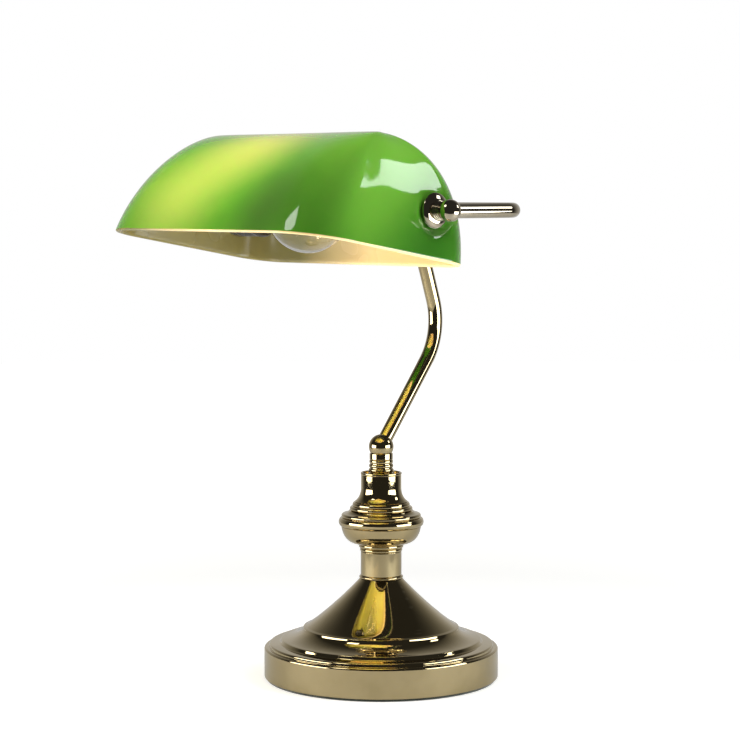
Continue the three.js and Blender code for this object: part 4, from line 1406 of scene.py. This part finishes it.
@dataclass
class Yoke:
    """The tee behind the shade and the two tubes that reach round to its ends."""

    bend: float = 18.0
    elbow_insert: float = 5.05

    def build(self, bench: Bench) -> None:
        """Makes the tee and both side tubes."""
        tee = Seat.of("yoke_tee")
        self.make_tee(bench, tee)
        for side, name in ((1, "near"), (-1, "far")):
            elbow = Seat.of(f"{name}_elbow_ball").middle
            low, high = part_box(f"{name}_elbow_ball")
            reach = (high.x - (high.y - low.y) / 2) if side > 0 else (low.x + (high.y - low.y) / 2)
            start = tee.middle + Vector((side * TEE_INSERT * MM, 0, 0))
            bender = TubeBender(start, Vector((side, 0, 0)), Vector((0, 0, -side)), TUBE)
            bender.straight(abs(reach - start.x) - self.bend * MM, 8)
            bender.bend(math.pi / 2, self.bend * MM)
            bender.straight((bender.place.y - elbow.y) - self.elbow_insert * MM, 4)
            tube = bender.finish(TUBE_WALL)
            bench.on_stand(f"{name}_yoke_arm", tube, CHAMPAGNE, Slot.BRASS, f"{name}_yoke_tube")

    def make_tee(self, bench: Bench, tee: Seat) -> None:
        """A ball with a soldered fillet ring round each of its three tubes."""
        ball = bmesh.new()
        bmesh.ops.create_uvsphere(ball, u_segments=64, v_segments=40, radius=tee.radius * MM)
        ball.transform(Matrix.Translation(tee.middle))
        down = Vector((0, math.sin(HEAD_LEAN), -math.cos(HEAD_LEAN)))
        ways = [Vector((1, 0, 0)), Vector((-1, 0, 0)), down]
        mouth = math.sqrt(tee.radius**2 - TUBE**2)
        rings = []
        for way in ways:
            ring = turned(
                [
                    Corner(TUBE + 0.02, mouth - 0.8),
                    Corner(TUBE + 1.0, mouth - 0.8, 0.3),
                    Corner(TUBE + 0.5, mouth + 0.7, 0.5),
                    Corner(TUBE + 0.02, mouth + 0.9),
                ],
                steps=48,
            )
            ring.transform(aim(tee.middle, way))
            rings.append(ring)
        bench.on_stand("tee_ball", joined(ball, *rings), BRASS, Slot.BRASS, "yoke_tee")


@dataclass
class KnobEnd:
    """One end of the knob axis: the elbow ball, the flared cap and the fibre washers."""

    name: str
    side: int
    seat_depth: float = 5.4

    def build(self, bench: Bench) -> None:
        """Makes this end's visible pieces."""
        self.make_elbow(bench)
        self.make_cap(bench)
        self.make_washers(bench)
        bench.dress(ZINC, f"{self.name}_nipple")

    def make_elbow(self, bench: Bench) -> None:
        """The ball that carries the side tube."""
        low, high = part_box(f"{self.name}_elbow_ball")
        radius = (high.z - low.z) / 2 / MM
        outer = high.x if self.side > 0 else low.x
        centre = Vector((outer - self.side * radius * MM, low.y + radius * MM, (low.z + high.z) / 2))
        fitting = BallFitting(radius, self.seat_depth, TUBE + SOCKET_PLAY)
        shape = fitting.shape(centre, Vector((0, 1, 0)), Vector((-self.side, 0, 0)))
        node = f"{self.name}_elbow_ball"
        bench.on_stand(f"{self.name}_elbow", shape, CHAMPAGNE, Slot.BRASS, node)

    def make_cap(self, bench: Bench) -> None:
        """The domed cap with three ribs behind it."""
        node = f"{self.name}_flared_cap"
        place, length, rim = on_axis(node, self.side)
        corners = [
            Corner(AXIS_BORE, 0.0),
            Corner(rim - 0.3, 0.0, 0.3),
            *sweep((rim, 0.5), (rim, 2.3), (rim - 2.6, 3.6), (rim - 5.2, 4.0), 16),
        ]
        pitch = (length - 4.0 + 0.25) / 3
        for rib in range(3):
            foot = 4.1 + rib * pitch
            barrel = 6.3 - 0.45 * rib
            corners += bead(Corner(barrel, foot), Corner(barrel, foot + 0.86 * pitch), 0.65, 6)
        corners.append(Corner(AXIS_BORE, length + 0.25))
        cap = turned(corners, steps=80)
        cap.transform(place)
        bench.on_stand(f"{self.name}_cap", cap, CHAMPAGNE, Slot.BRASS, node)

    def make_washers(self, bench: Bench) -> None:
        """The fibre washers on both faces of the glass."""
        for where in ("outer", "inner"):
            node = f"{self.name}_{where}_fibre_washer"
            place, thickness, radius = on_axis(node, self.side)
            washer = turned(
                [
                    Corner(AXIS_BORE, 0.0),
                    Corner(radius, 0.0, 0.2),
                    Corner(radius, thickness, 0.2),
                    Corner(AXIS_BORE, thickness),
                ],
                steps=56,
            )
            washer.transform(place)
            name = f"{self.name}_{where}_washer"
            bench.deliver(name, washer, [FIBRE], Body.SHADE, Slot.FIBRE, [node])


# ---------- glass shade ----------
@dataclass(frozen=True)
class WallCurve:
    """How a wall of the shade rises.

    The fullness of its curve, its lean at the rim, and how late it turns into the end wall.
    """

    power: float
    lean: float
    turn: float = 4.0


@dataclass
class GlassShade:
    """The blown trough of green cased glass, level in its own frame and then tilted."""

    tilt: float = math.radians(9.5)
    glass: float = 4.0
    half_length: float = 104.4
    front: float = 111.6
    back: float = 42.2
    drop: float = 31.8
    height: float = 78.0
    front_corner: float = 34.0
    back_corner: float = 25.0
    ridge_half: float = 73.0
    ridge_y: float = -31.0
    front_wall: WallCurve = WallCurve(1.6, math.radians(16))
    back_wall: WallCurve = WallCurve(2.6, math.radians(6), 8.0)
    end_wall: WallCurve = WallCurve(2.0, math.radians(4))
    levels: int = 44
    seat_out: float = 99.4
    seat_radius: float = 12.4
    seat_blend: float = 4.0
    hole: float = 5.3
    rim_round: float = 1.3
    top_rise: float = 0.992
    crowding: float = 1.15
    seat_thinning: float = 0.8
    end_depth: float = 12.0

    def rim_loop(self, bm: bmesh.types.BMesh, inset: float) -> list[bmesh.types.BMEdge]:
        """Sets out the rim as a rounded rectangle.

        Args:
            bm: the mesh that it goes into.
            inset: how far it is drawn in.

        Returns:
            The rim's edges.
        """
        length, front, back = self.half_length - inset, self.front - inset, self.back - inset
        spots = [(-length, -front), (length, -front), (length, back), (-length, back)]
        corners = [bm.verts.new((x, y, 0.0)) for x, y in spots]
        for i in range(4):
            bm.edges.new((corners[i], corners[(i + 1) % 4]))
        rounds = (self.front_corner, self.front_corner, self.back_corner, self.back_corner)
        rim = set(corners)
        for corner, radius in zip(corners, rounds):
            before = set(bm.verts)
            bmesh.ops.bevel(
                bm,
                geom=[corner],
                offset=radius - inset,
                offset_type="OFFSET",
                affect="VERTICES",
                segments=16,
                profile=0.5,
                material=-1,
            )
            rim.discard(corner)
            rim |= set(bm.verts) - before
        rim = {vert for vert in rim if vert.is_valid}
        long_edges = [
            edge for edge in bm.edges if edge.calc_length() > 8 and set(edge.verts) <= rim
        ]
        for edge in long_edges:
            bmesh.ops.subdivide_edges(bm, edges=[edge], cuts=round(edge.calc_length() / 3.6))
        return [edge for edge in bm.edges if not edge.link_faces and abs(edge.verts[0].co.z) < 1e-6]

    def raise_point(self, rim: Vector, inset: float, rise: float) -> Vector:
        """Where a point of the rim is at a share of the wall's rise.

        Args:
            rim: the point on the rim, from the pivot.
            inset: how far this face is drawn in from the outside.
            rise: 0 at the rim, 1 at the ridge.

        Returns:
            The raised point, in millimetres.
        """
        ridge_x = rim.x * self.ridge_half / (self.half_length - inset)
        out = Vector((rim.x - ridge_x, rim.y - self.ridge_y))
        wall = self.back_wall if out.y > 0 else self.front_wall
        to_end = 1 - abs(out.y / out.length) ** wall.turn
        power = to_end * self.end_wall.power + (1 - to_end) * wall.power
        lean = to_end * self.end_wall.lean + (1 - to_end) * wall.lean
        angle = lean + (math.pi / 2 - lean) * rise
        spread = max(0.0, math.cos(angle) / math.cos(lean)) ** (2 / power)
        start = math.sin(lean) ** (2 / power)
        lift = (math.sin(angle) ** (2 / power) - start) / (1 - start)
        return Vector(
            (
                ridge_x + out.x * spread,
                self.ridge_y + out.y * spread,
                (self.height - inset) * lift - self.drop,
            )
        )

    def skin(self, inset: float) -> bmesh.types.BMesh:
        """One face of the glass, from the rim up to the ridge.

        Args:
            inset: how far it is drawn in from the outside.

        Returns:
            The open skin in millimetres.
        """
        bm = bmesh.new()
        loop = self.rim_loop(bm, inset)
        home = bm.verts.layers.float_vector.new("rim")
        for vert in {vert for edge in loop for vert in edge.verts}:
            vert[home] = vert.co
            vert.co = self.raise_point(vert[home], inset, 0.0)
        for level in range(1, self.levels + 1):
            rise = self.top_rise * math.sin(math.pi / 2 * level / self.levels) ** self.crowding
            verts, loop = extruded(bm, loop)
            for vert in verts:
                vert.co = self.raise_point(vert[home], inset, rise)
        self.close_ridge(bm, loop)
        bmesh.ops.recalc_face_normals(bm, faces=bm.faces)
        return bm

    def close_ridge(self, bm: bmesh.types.BMesh, loop: list[bmesh.types.BMEdge]) -> None:
        """Closes the narrow slot that is left along the ridge."""
        bmesh.ops.holes_fill(bm, edges=loop, sides=0)
        bmesh.ops.triangulate(bm, faces=[face for face in bm.faces if len(face.verts) > 4])

    def flatten_seats(self, bm: bmesh.types.BMesh, plane: float) -> None:
        """Draws the end walls in to the flat seats round the knob axis.

        Args:
            bm: a skin of the glass.
            plane: the distance of its flat seat from the middle.
        """
        for vert in bm.verts:
            away = math.hypot(vert.co.y, vert.co.z)
            share = min(max((away - self.seat_radius) / self.seat_blend, 0.0), 1.0)
            hold = 1 - share * share * (3 - 2 * share)
            if hold > 0 and abs(vert.co.x) > plane - self.end_depth:
                target = math.copysign(plane, vert.co.x)
                vert.co.x += (target - vert.co.x) * hold

    def drill(self, bm: bmesh.types.BMesh) -> list[bmesh.types.BMEdge]:
        """Cuts the round knob holes out of a skin's flat seats.

        Args:
            bm: a skin of the glass.

        Returns:
            The edges round the holes.
        """
        edges = []
        sides = 24
        for side in (1, -1):
            for i in range(sides):
                angle = TURN * i / sides
                way = Vector((0, math.cos(angle), math.sin(angle)))
                near = [face for face in bm.faces if self.beside_axis(face, side, self.seat_radius - 2)]
                edges_near = {edge for face in near for edge in face.edges}
                verts_near = {vert for face in near for vert in face.verts}
                geom = set(near) | edges_near | verts_near
                bmesh.ops.bisect_plane(
                    bm, geom=list(geom), dist=1e-4, plane_co=way * self.hole, plane_no=way
                )
            inside = [face for face in bm.faces if self.beside_axis(face, side, self.hole * 0.97)]
            rim = {edge for face in inside for edge in face.edges}
            rim = {edge for edge in rim if sum(face in inside for face in edge.link_faces) == 1}
            bmesh.ops.delete(bm, geom=inside, context="FACES")
            edges += [edge for edge in rim if edge.is_valid]
        return edges

    def beside_axis(self, face: bmesh.types.BMFace, side: int, radius: float) -> bool:
        """Whether a face lies within a radius of the knob axis, at one end."""
        middle = face.calc_center_median()
        near = math.hypot(middle.y, middle.z) < radius
        return near and middle.x * side > self.seat_out - self.end_depth

    def build(self, bench: Bench) -> None:
        """Makes the shade: two skins joined at the rim and at the holes."""
        outside, inside = self.skin(0.0), self.skin(self.glass)
        self.flatten_seats(outside, self.seat_out)
        self.flatten_seats(inside, self.seat_out - self.glass - self.seat_thinning)
        for skin in (outside, inside):
            self.drill(skin)
        for face in inside.faces:
            face.material_index = 1
        bmesh.ops.reverse_faces(inside, faces=inside.faces)
        whole = joined(outside, inside)
        open_edges = [edge for edge in whole.edges if edge.is_boundary]
        rims = [edge for edge in open_edges if edge.verts[0].co.z < -self.drop + 0.01]
        made = bmesh.ops.bridge_loops(whole, edges=rims)["faces"]
        for face in made:
            face.material_index = 1
        corners = {edge for face in made for edge in face.edges}
        corners = {edge for edge in corners if not set(edge.link_faces) <= set(made)}
        bmesh.ops.bevel(
            whole,
            geom=list(corners),
            offset=self.rim_round,
            offset_type="OFFSET",
            affect="EDGES",
            segments=4,
            profile=0.5,
            material=1,
        )
        for side in (1, -1):
            rings = [
                edge
                for edge in whole.edges
                if edge.is_boundary and edge.verts[0].co.x * side > self.seat_out - self.end_depth
            ]
            bmesh.ops.bridge_loops(whole, edges=rings)
        bmesh.ops.recalc_face_normals(whole, faces=whole.faces)
        tilt = next(joint for joint in frame["joints"] if joint["child"] == Body.SHADE.value)
        pivot = Matrix.Translation(Vector(tilt["pos_m"]))
        whole.transform(pivot @ Matrix.Rotation(-self.tilt, 4, "X") @ Matrix.Scale(MM, 4))
        bench.deliver(
            "cased_glass_shade",
            whole,
            [GREEN_GLASS, OPAL_GLASS],
            Body.SHADE,
            Slot.GREEN_GLASS,
            ["glass_shade"],
            sharp=50.0,
        )


# ---------- lampholder and bulb ----------
@dataclass
class Lampholder:
    """The black lampholder on the far nipple, with its threaded nickel shell."""

    wall: float = 1.6

    def build(self, bench: Bench) -> None:
        """Makes the cap, the ribbed sleeve and the screw shell."""
        self.make_cap(bench)
        self.make_sleeve(bench)
        self.make_shell(bench)
        bench.dress(CERAMIC, "lampholder_disc")
        bench.dress(NICKEL, "lampholder_contact")

    def make_cap(self, bench: Bench) -> None:
        """The domed cap against the inner washer."""
        place, length, radius = on_axis("lampholder_cap", -1)
        inside = radius - self.wall
        cap = turned(
            [
                Corner(inside, 0.0, 0.2),
                Corner(radius, 0.0, 0.4),
                Corner(radius, length - 6.7, 2.0),
                Corner(radius - 3.2, length - 2.6, 2.5),
                Corner(11.2, length, 0.6),
                Corner(AXIS_BORE, length),
                Corner(AXIS_BORE, length - 3.6),
                Corner(inside - 4.6, length - 3.6),
                Corner(inside - 1.2, length - 4.9),
                Corner(inside, length - 6.2),
            ]
        )
        cap.transform(place)
        bench.on_stand("holder_cap", cap, BAKELITE, Slot.BAKELITE, "lampholder_cap")

    def make_sleeve(self, bench: Bench) -> None:
        """The sleeve, with grip rings round its middle."""
        place, length, radius = on_axis("lampholder_sleeve", -1)
        inside = radius - self.wall
        mouth = 15.9
        rings = []
        for ring in range(5):
            low = 5.0 + 2.6 * ring
            rings += bead(Corner(radius - 0.7, low), Corner(radius - 0.7, low + 2.0), 0.6, 6)
        sleeve = turned(
            [
                Corner(mouth, 0.0, 0.3),
                Corner(radius - 0.8, 0.0, 0.8),
                Corner(radius, 1.6, 0.4),
                Corner(radius, 4.2, 0.3),
                *rings,
                Corner(radius, length - 3.2, 0.3),
                Corner(radius, length, 0.3),
                Corner(inside, length),
                Corner(inside, 2.0),
                Corner(mouth, 2.0),
            ]
        )
        sleeve.transform(place)
        bench.on_stand("holder_sleeve", sleeve, BAKELITE, Slot.BAKELITE, "lampholder_sleeve")

    def make_shell(self, bench: Bench) -> None:
        """The pressed screw shell inside the sleeve."""
        place, length, radius = on_axis("lampholder_screw_shell", -1)
        shell = threaded_sleeve(radius - 0.35, length, 0.3, 0.3)
        shell.transform(place)
        node = "lampholder_screw_shell"
        bench.on_stand("holder_screw_shell", shell, NICKEL, Slot.NICKEL, node)


def threaded_sleeve(
    radius: float, length: float, depth: float, wall: float
) -> bmesh.types.BMesh:
    """A metal sleeve of light gauge, rolled into a round screw thread.

    Args:
        radius: its middle radius in millimetres.
        length: its length.
        depth: how far the thread swings to each side of the radius.
        wall: the metal's thickness.

    Returns:
        The sleeve, standing on z = 0, in metres.
    """
    bm = bmesh.new()
    spots = 12
    verts = []
    for i in range(spots + 1):
        swing = depth * math.cos(TURN * i / spots)
        verts.append(bm.verts.new(((radius + swing) * MM, 0.0, (i / spots - 1) * SCREW_PITCH * MM)))
    edges = [bm.edges.new(pair) for pair in zip(verts, verts[1:])]
    steps = 48
    turns = math.ceil(length / SCREW_PITCH) + 1
    spin_about_z(bm, verts + edges, steps, turns, SCREW_PITCH * MM / steps)
    bmesh.ops.remove_doubles(bm, verts=bm.verts, dist=1e-6)
    for height, up in ((0.0, -1), (length * MM, 1)):
        bmesh.ops.bisect_plane(
            bm,
            geom=list(bm.verts) + list(bm.edges) + list(bm.faces),
            dist=1e-7,
            plane_co=(0, 0, height),
            plane_no=(0, 0, up),
            clear_outer=True,
        )
    bmesh.ops.recalc_face_normals(bm, faces=bm.faces)
    bmesh.ops.solidify(bm, geom=list(bm.faces), thickness=wall * MM)
    return bm


@dataclass
class ClearBulb:
    """The clear globe bulb that screws into the lampholder."""

    leave: float = math.radians(25)
    glass: float = 0.9
    wire: float = 0.3

    def build(self, bench: Bench) -> None:
        """Makes the envelope, the stem, the filament and the screw cap."""
        self.make_envelope(bench)
        self.make_stem(bench)
        self.make_filament(bench)
        self.make_cap(bench)
        bench.dress(NICKEL, "bulb_contact")
        bench.dress(BAKELITE, "bulb_insulator")

    def make_envelope(self, bench: Bench) -> None:
        """The blown globe and its neck, with a wall of its own."""
        place, length, radius = on_axis("bulb_glass", -1)
        neck = 12.2

        def face(inset: float) -> list[Vector]:
            """One face of the glass as radius and distance from the globe's tip."""
            points = []
            ball = radius - inset
            steps = 40
            for i in range(steps + 1):
                angle = -math.pi / 2 + (math.pi / 2 + self.leave) * i / steps
                points.append(Vector((ball * math.cos(angle), radius + ball * math.sin(angle))))
            points[0].x = 0.0
            last = points[-1]
            run = length - 6.5 - last.y
            curve = sweep(
                (last.x, last.y),
                (last.x - math.tan(self.leave) * 0.4 * run, last.y + 0.4 * run),
                (neck - inset + 0.8, last.y + 0.7 * run),
                (neck - inset, last.y + run),
                20,
            )
            points += [Vector((spot.radius, spot.height)) for spot in curve[1:]]
            points.append(Vector((neck - inset, length)))
            return points

        bm = turn_piece(face(0.0) + face(self.glass)[::-1], closed=False, steps=72)
        bm.transform(place)
        bench.deliver(
            "bulb_envelope", bm, [BULB_GLASS], Body.BULB, Slot.CLEAR_GLASS, ["bulb_glass"], sharp=60.0
        )

    def make_stem(self, bench: Bench) -> None:
        """The flared glass stem with its pinched tip."""
        place, length, wide = on_axis("bulb_stem", -1)
        skirt = sweep((2.4, 8.0), (2.9, 14.0), (wide - 2.6, length - 5.0), (wide, length), 14)
        points = outline(
            [Corner(0, 0), Corner(1.9, 0, 0.8), Corner(1.7, 3.0, 1.0), *skirt, Corner(0, length)],
            closed=False,
        )
        bm = turn_piece(points, closed=False, steps=40)
        bm.transform(place)
        bench.deliver("stem_flare", bm, [BULB_GLASS], Body.BULB, Slot.CLEAR_GLASS, ["bulb_stem"])

    def make_filament(self, bench: Bench) -> None:
        """Two lead wires and the coiled filament strung between them."""
        low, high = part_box("bulb_filament")
        middle = on_axis("bulb_glass", -1)[0].translation
        reach = (high.y - low.y) / 2
        tip = high.x
        parts = []
        for side in (1, -1):
            start = Vector((low.x, middle.y + side * 2.6 * MM, middle.z))
            end = Vector((tip - 3.0 * MM, middle.y + side * (reach - 1.0 * MM), middle.z))
            way = (end - start).normalized()
            lead = TubeBender(start, way, Vector((0, 0, 1)), self.wire)
            lead.straight((end - start).length, 6)
            parts.append(lead.finish(0.9 * self.wire))
        coil = bmesh.new()
        span = 2 * reach - 2.4 * MM
        turns, steps = 22, 14
        bmesh.ops.create_circle(
            coil,
            segments=6,
            radius=0.11 * MM,
            matrix=Matrix.Translation((0.75 * MM, 0, 0)) @ Matrix.Rotation(math.pi / 2, 4, "X"),
        )
        geom = list(coil.verts) + list(coil.edges)
        spin_about_z(coil, geom, steps, turns, span / (turns * steps))
        bmesh.ops.holes_fill(coil, edges=[edge for edge in coil.edges if edge.is_boundary], sides=0)
        bmesh.ops.recalc_face_normals(coil, faces=coil.faces)
        coil.transform(aim(Vector((tip - 3.0 * MM, middle.y - span / 2, middle.z)), Vector((0, 1, 0))))
        bench.deliver(
            "filament_and_leads",
            joined(coil, *parts),
            [TUNGSTEN],
            Body.BULB,
            Slot.TUNGSTEN,
            ["bulb_filament"],
        )

    def make_cap(self, bench: Bench) -> None:
        """The rolled screw cap."""
        place, length, radius = on_axis("bulb_screw_cap", -1)
        shell = threaded_sleeve(radius - 0.45, length, 0.4, 0.4)
        shell.transform(place)
        bench.deliver("screw_cap", shell, [NICKEL], Body.BULB, Slot.NICKEL, ["bulb_screw_cap"])


# ---------- studio ----------
WARM = (1.0, 0.80, 0.52)
NEUTRAL = (1.0, 0.98, 0.95)
COOL = (0.95, 0.98, 1.0)


def hang_light(
    lamp: bpy.types.Light, place: Vector, facing: Matrix, tint: Sequence[float], mirrored: bool
) -> None:
    """Hangs a light where the camera does not see it.

    Args:
        lamp: the light's own data.
        place: where it hangs.
        facing: how it is turned.
        tint: its colour.
        mirrored: whether the gloss shows it.
    """
    lamp.color = tint
    light = bpy.data.objects.new(lamp.name, lamp)
    light.location = place
    light.rotation_euler = facing.to_euler()
    light.visible_camera = False
    light.visible_glossy = mirrored
    bpy.context.scene.collection.objects.link(light)


@dataclass(frozen=True)
class Softbox:
    """A flat soft light: where it hangs, what it faces, its size, brightness and tint.

    A box that is not mirrored lights the lamp softly without showing in its gloss.
    """

    name: str
    place: Vector
    target: Vector
    width: float
    height: float
    brightness: float
    tint: tuple[float, float, float] = NEUTRAL
    roll: float = 0.0
    mirrored: bool = True

    def hang(self) -> None:
        """Adds the light, hidden from the camera itself."""
        lamp = bpy.data.lights.new(self.name, "AREA")
        lamp.shape = "RECTANGLE"
        lamp.size, lamp.size_y = self.width, self.height
        lamp.energy = self.brightness * math.pi * self.width * self.height
        facing = (self.target - self.place).to_track_quat("-Z", "Y").to_matrix()
        facing = facing @ Matrix.Rotation(math.radians(self.roll), 3, "Z")
        hang_light(lamp, self.place, facing, self.tint, self.mirrored)


@dataclass(frozen=True)
class SoftSpot:
    """A round soft-edged accent light."""

    name: str
    place: Vector
    target: Vector
    cone: float
    power: float
    tint: tuple[float, float, float] = WARM

    def hang(self) -> None:
        """Adds the light, hidden from the camera and from the gloss."""
        lamp = bpy.data.lights.new(self.name, "SPOT")
        lamp.energy = self.power
        lamp.spot_size = math.radians(self.cone)
        lamp.spot_blend = 1.0
        lamp.shadow_soft_size = 0.03
        facing = (self.target - self.place).to_track_quat("-Z", "Y").to_matrix()
        hang_light(lamp, self.place, facing, self.tint, False)


@dataclass
class Studio:
    """The pale table, the surroundings, the soft lights and the camera."""

    azimuth: float = math.radians(44.3)
    distance: float = 1.6
    camera_height: float = 0.3407
    pitch: float = math.radians(-4.43)
    yaw: float = math.radians(0.28)
    lens: float = 112.0
    table_front: float = 0.62
    table_back: float = 3.0
    table_half: float = 0.75
    backdrop: float = 0.50
    room: float = 0.03

    def along(self, right: float, towards: float, up: float) -> Vector:
        """A place given from the lamp's middle by the camera's right, its own side and height."""
        right_way = Vector((math.cos(self.azimuth), math.sin(self.azimuth), 0))
        near_way = Vector((math.sin(self.azimuth), -math.cos(self.azimuth), 0))
        return right_way * right + near_way * towards + Vector((0, 0, up))

    def build(self) -> None:
        """Sets the stage."""
        self.lay_table()
        self.set_surroundings()
        self.hang_lights()
        self.set_camera()

    def lay_table(self) -> None:
        """A plain pale table top that ends a little way in front of the lamp."""
        bm = bmesh.new()
        bmesh.ops.create_grid(bm, x_segments=1, y_segments=1, size=1.0)
        for vert in bm.verts:
            depth = self.table_front if vert.co.y < 0 else -self.table_back
            vert.co = self.along(math.copysign(self.table_half, vert.co.x), depth, 0.0)
        mesh = bpy.data.meshes.new("table_top")
        bm.to_mesh(mesh)
        bm.free()
        table = bpy.data.objects.new("table_top", mesh)
        bpy.context.scene.collection.objects.link(table)
        pale = bpy.data.materials.new("pale_table")
        pale.use_nodes = True
        shader = pale.node_tree.nodes["Principled BSDF"]
        shader.inputs["Roughness"].default_value = 0.8
        shader.inputs["Emission Color"].default_value = (1.0, 0.99, 0.97, 1.0)
        sheet = NodeSheet(pale.node_tree)
        away = sheet.node("VectorMath", operation="LENGTH")
        sheet.link(sheet.node("TexCoord").outputs["Object"], away.inputs[0])
        glow = sheet.span(away.outputs["Value"], 0.45, 1.2, 0.40, 1.0)
        mirrored = sheet.node("LightPath").outputs["Is Glossy Ray"]
        glow = sheet.math("MULTIPLY", glow, sheet.span(mirrored, 0.0, 1.0, 1.0, 0.45))
        sheet.link(glow, shader.inputs["Emission Strength"])
        tone = sheet.mix(mirrored, (0.8, 0.8, 0.79), (0.36, 0.36, 0.35))
        sheet.link(tone, shader.inputs["Base Color"])
        mesh.materials.append(pale)

    def set_surroundings(self) -> None:
        """White to the camera, soft to dull surfaces, and a dim room in every reflection."""
        world = bpy.data.worlds.new("studio")
        bpy.context.scene.world = world
        world.use_nodes = True
        sheet = NodeSheet(world.node_tree)
        world.node_tree.nodes.clear()
        path = sheet.node("LightPath")
        way = sheet.node("TexCoord")
        parts = sheet.node("SeparateXYZ")
        behind = sheet.node("VectorMath", operation="DOT_PRODUCT")
        behind.inputs[1].default_value = -self.along(0.0, 1.0, 0.0)
        sheet.link(way.outputs["Generated"], parts.inputs[0])
        sheet.link(way.outputs["Generated"], behind.inputs[0])
        low = sheet.span(parts.outputs["Z"], 0.20, 0.90, 1.0, 0.0)
        back = sheet.span(behind.outputs["Value"], 0.30, 0.95, 0.0, self.backdrop)
        room = sheet.math("ADD", sheet.math("MULTIPLY", low, back), self.room)
        ambient = sheet.node("Background", Color=(1, 1, 1, 1), Strength=0.22)
        dim = sheet.node("Background", Color=(1.0, 0.98, 0.94, 1))
        sheet.link(room, dim.inputs["Strength"])
        white = sheet.node("Background", Color=(1, 1, 1, 1), Strength=1.0)
        lit = sheet.node("MixShader")
        both = sheet.node("MixShader")
        out = sheet.node("OutputWorld")
        sheet.link(path.outputs["Is Diffuse Ray"], lit.inputs[0])
        sheet.link(dim.outputs[0], lit.inputs[1])
        sheet.link(ambient.outputs[0], lit.inputs[2])
        sheet.link(path.outputs["Is Camera Ray"], both.inputs[0])
        sheet.link(lit.outputs[0], both.inputs[1])
        sheet.link(white.outputs[0], both.inputs[2])
        sheet.link(both.outputs[0], out.inputs["Surface"])

    def hang_lights(self) -> None:
        """Four mirrored softboxes, and soft fills that the gloss does not show."""
        shade = Vector((0.0, -0.085, 0.34))
        crown = Vector((-0.02, -0.115, 0.37))
        base = Vector((0.0, 0.0, 0.06))
        inside = Vector((0.05, -0.02, 0.33))
        lights = [
            Softbox("box_right", self.along(1.27, -0.13, 0.97), shade, 0.30, 0.40, 5.0, COOL, -34.0),
            Softbox("box_crown", self.along(-0.60, 0.42, 1.03), shade, 0.30, 0.24, 5.0, NEUTRAL, -38.0),
            Softbox("box_low_right", self.along(0.46, 0.22, 0.17), base, 0.42, 0.20, 6.0, COOL),
            Softbox("box_low_left", self.along(-0.50, 0.16, 0.17), base, 0.42, 0.20, 6.0, NEUTRAL),
        ]
        for name, place, target, size, brightness, tint in (
            ("fill_right", (0.75, 0.2, 1.25), shade, 0.6, 7.0, COOL),
            ("fill_left", (-1.0, 0.1, 0.9), shade, 0.6, 5.0, NEUTRAL),
            ("fill_under", (-0.30, 0.42, 0.04), inside, 0.3, 3.0, WARM),
            ("fill_up", (0.05, 0.10, 0.14), crown, 0.10, 15.0, WARM),
        ):
            spot = self.along(*place)
            lights.append(Softbox(name, spot, target, size, size, brightness, tint, mirrored=False))
        lights.append(SoftSpot("crown_accent", self.along(-0.75, 0.2, 0.95), crown, 13.0, 60.0))
        for light in lights:
            light.hang()

    def set_camera(self) -> None:
        """The camera, level in roll, a little above the shade."""
        lens = bpy.data.cameras.new("camera")
        lens.lens = self.lens
        lens.sensor_width = 36.0
        camera = bpy.data.objects.new("camera", lens)
        camera.location = self.along(0.0, self.distance, self.camera_height)
        turn = Matrix.Rotation(self.azimuth + self.yaw, 3, "Z")
        turn = turn @ Matrix.Rotation(math.pi / 2 + self.pitch, 3, "X")
        camera.rotation_euler = turn.to_euler()
        bpy.context.scene.collection.objects.link(camera)
        bpy.context.scene.camera = camera
        bpy.context.scene.view_settings.view_transform = "Standard"


def main() -> None:
    """Builds the lamp's looks in order."""
    logging.basicConfig(level=logging.INFO, format="%(message)s")
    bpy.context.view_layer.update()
    Studio().build()
    bench = Bench()
    WeightedBase().build(bench)
    TurnedColumn().build(bench)
    BentArm().build(bench)
    Yoke().build(bench)
    for name, side in (("near", 1), ("far", -1)):
        KnobEnd(name, side).build(bench)
    bench.dress(ZINC, "near_inner_nut")
    GlassShade().build(bench)
    Lampholder().build(bench)
    ClearBulb().build(bench)
    log.info("%d pieces made", len(bench.delivered))


if __name__ == "__main__":
    main()
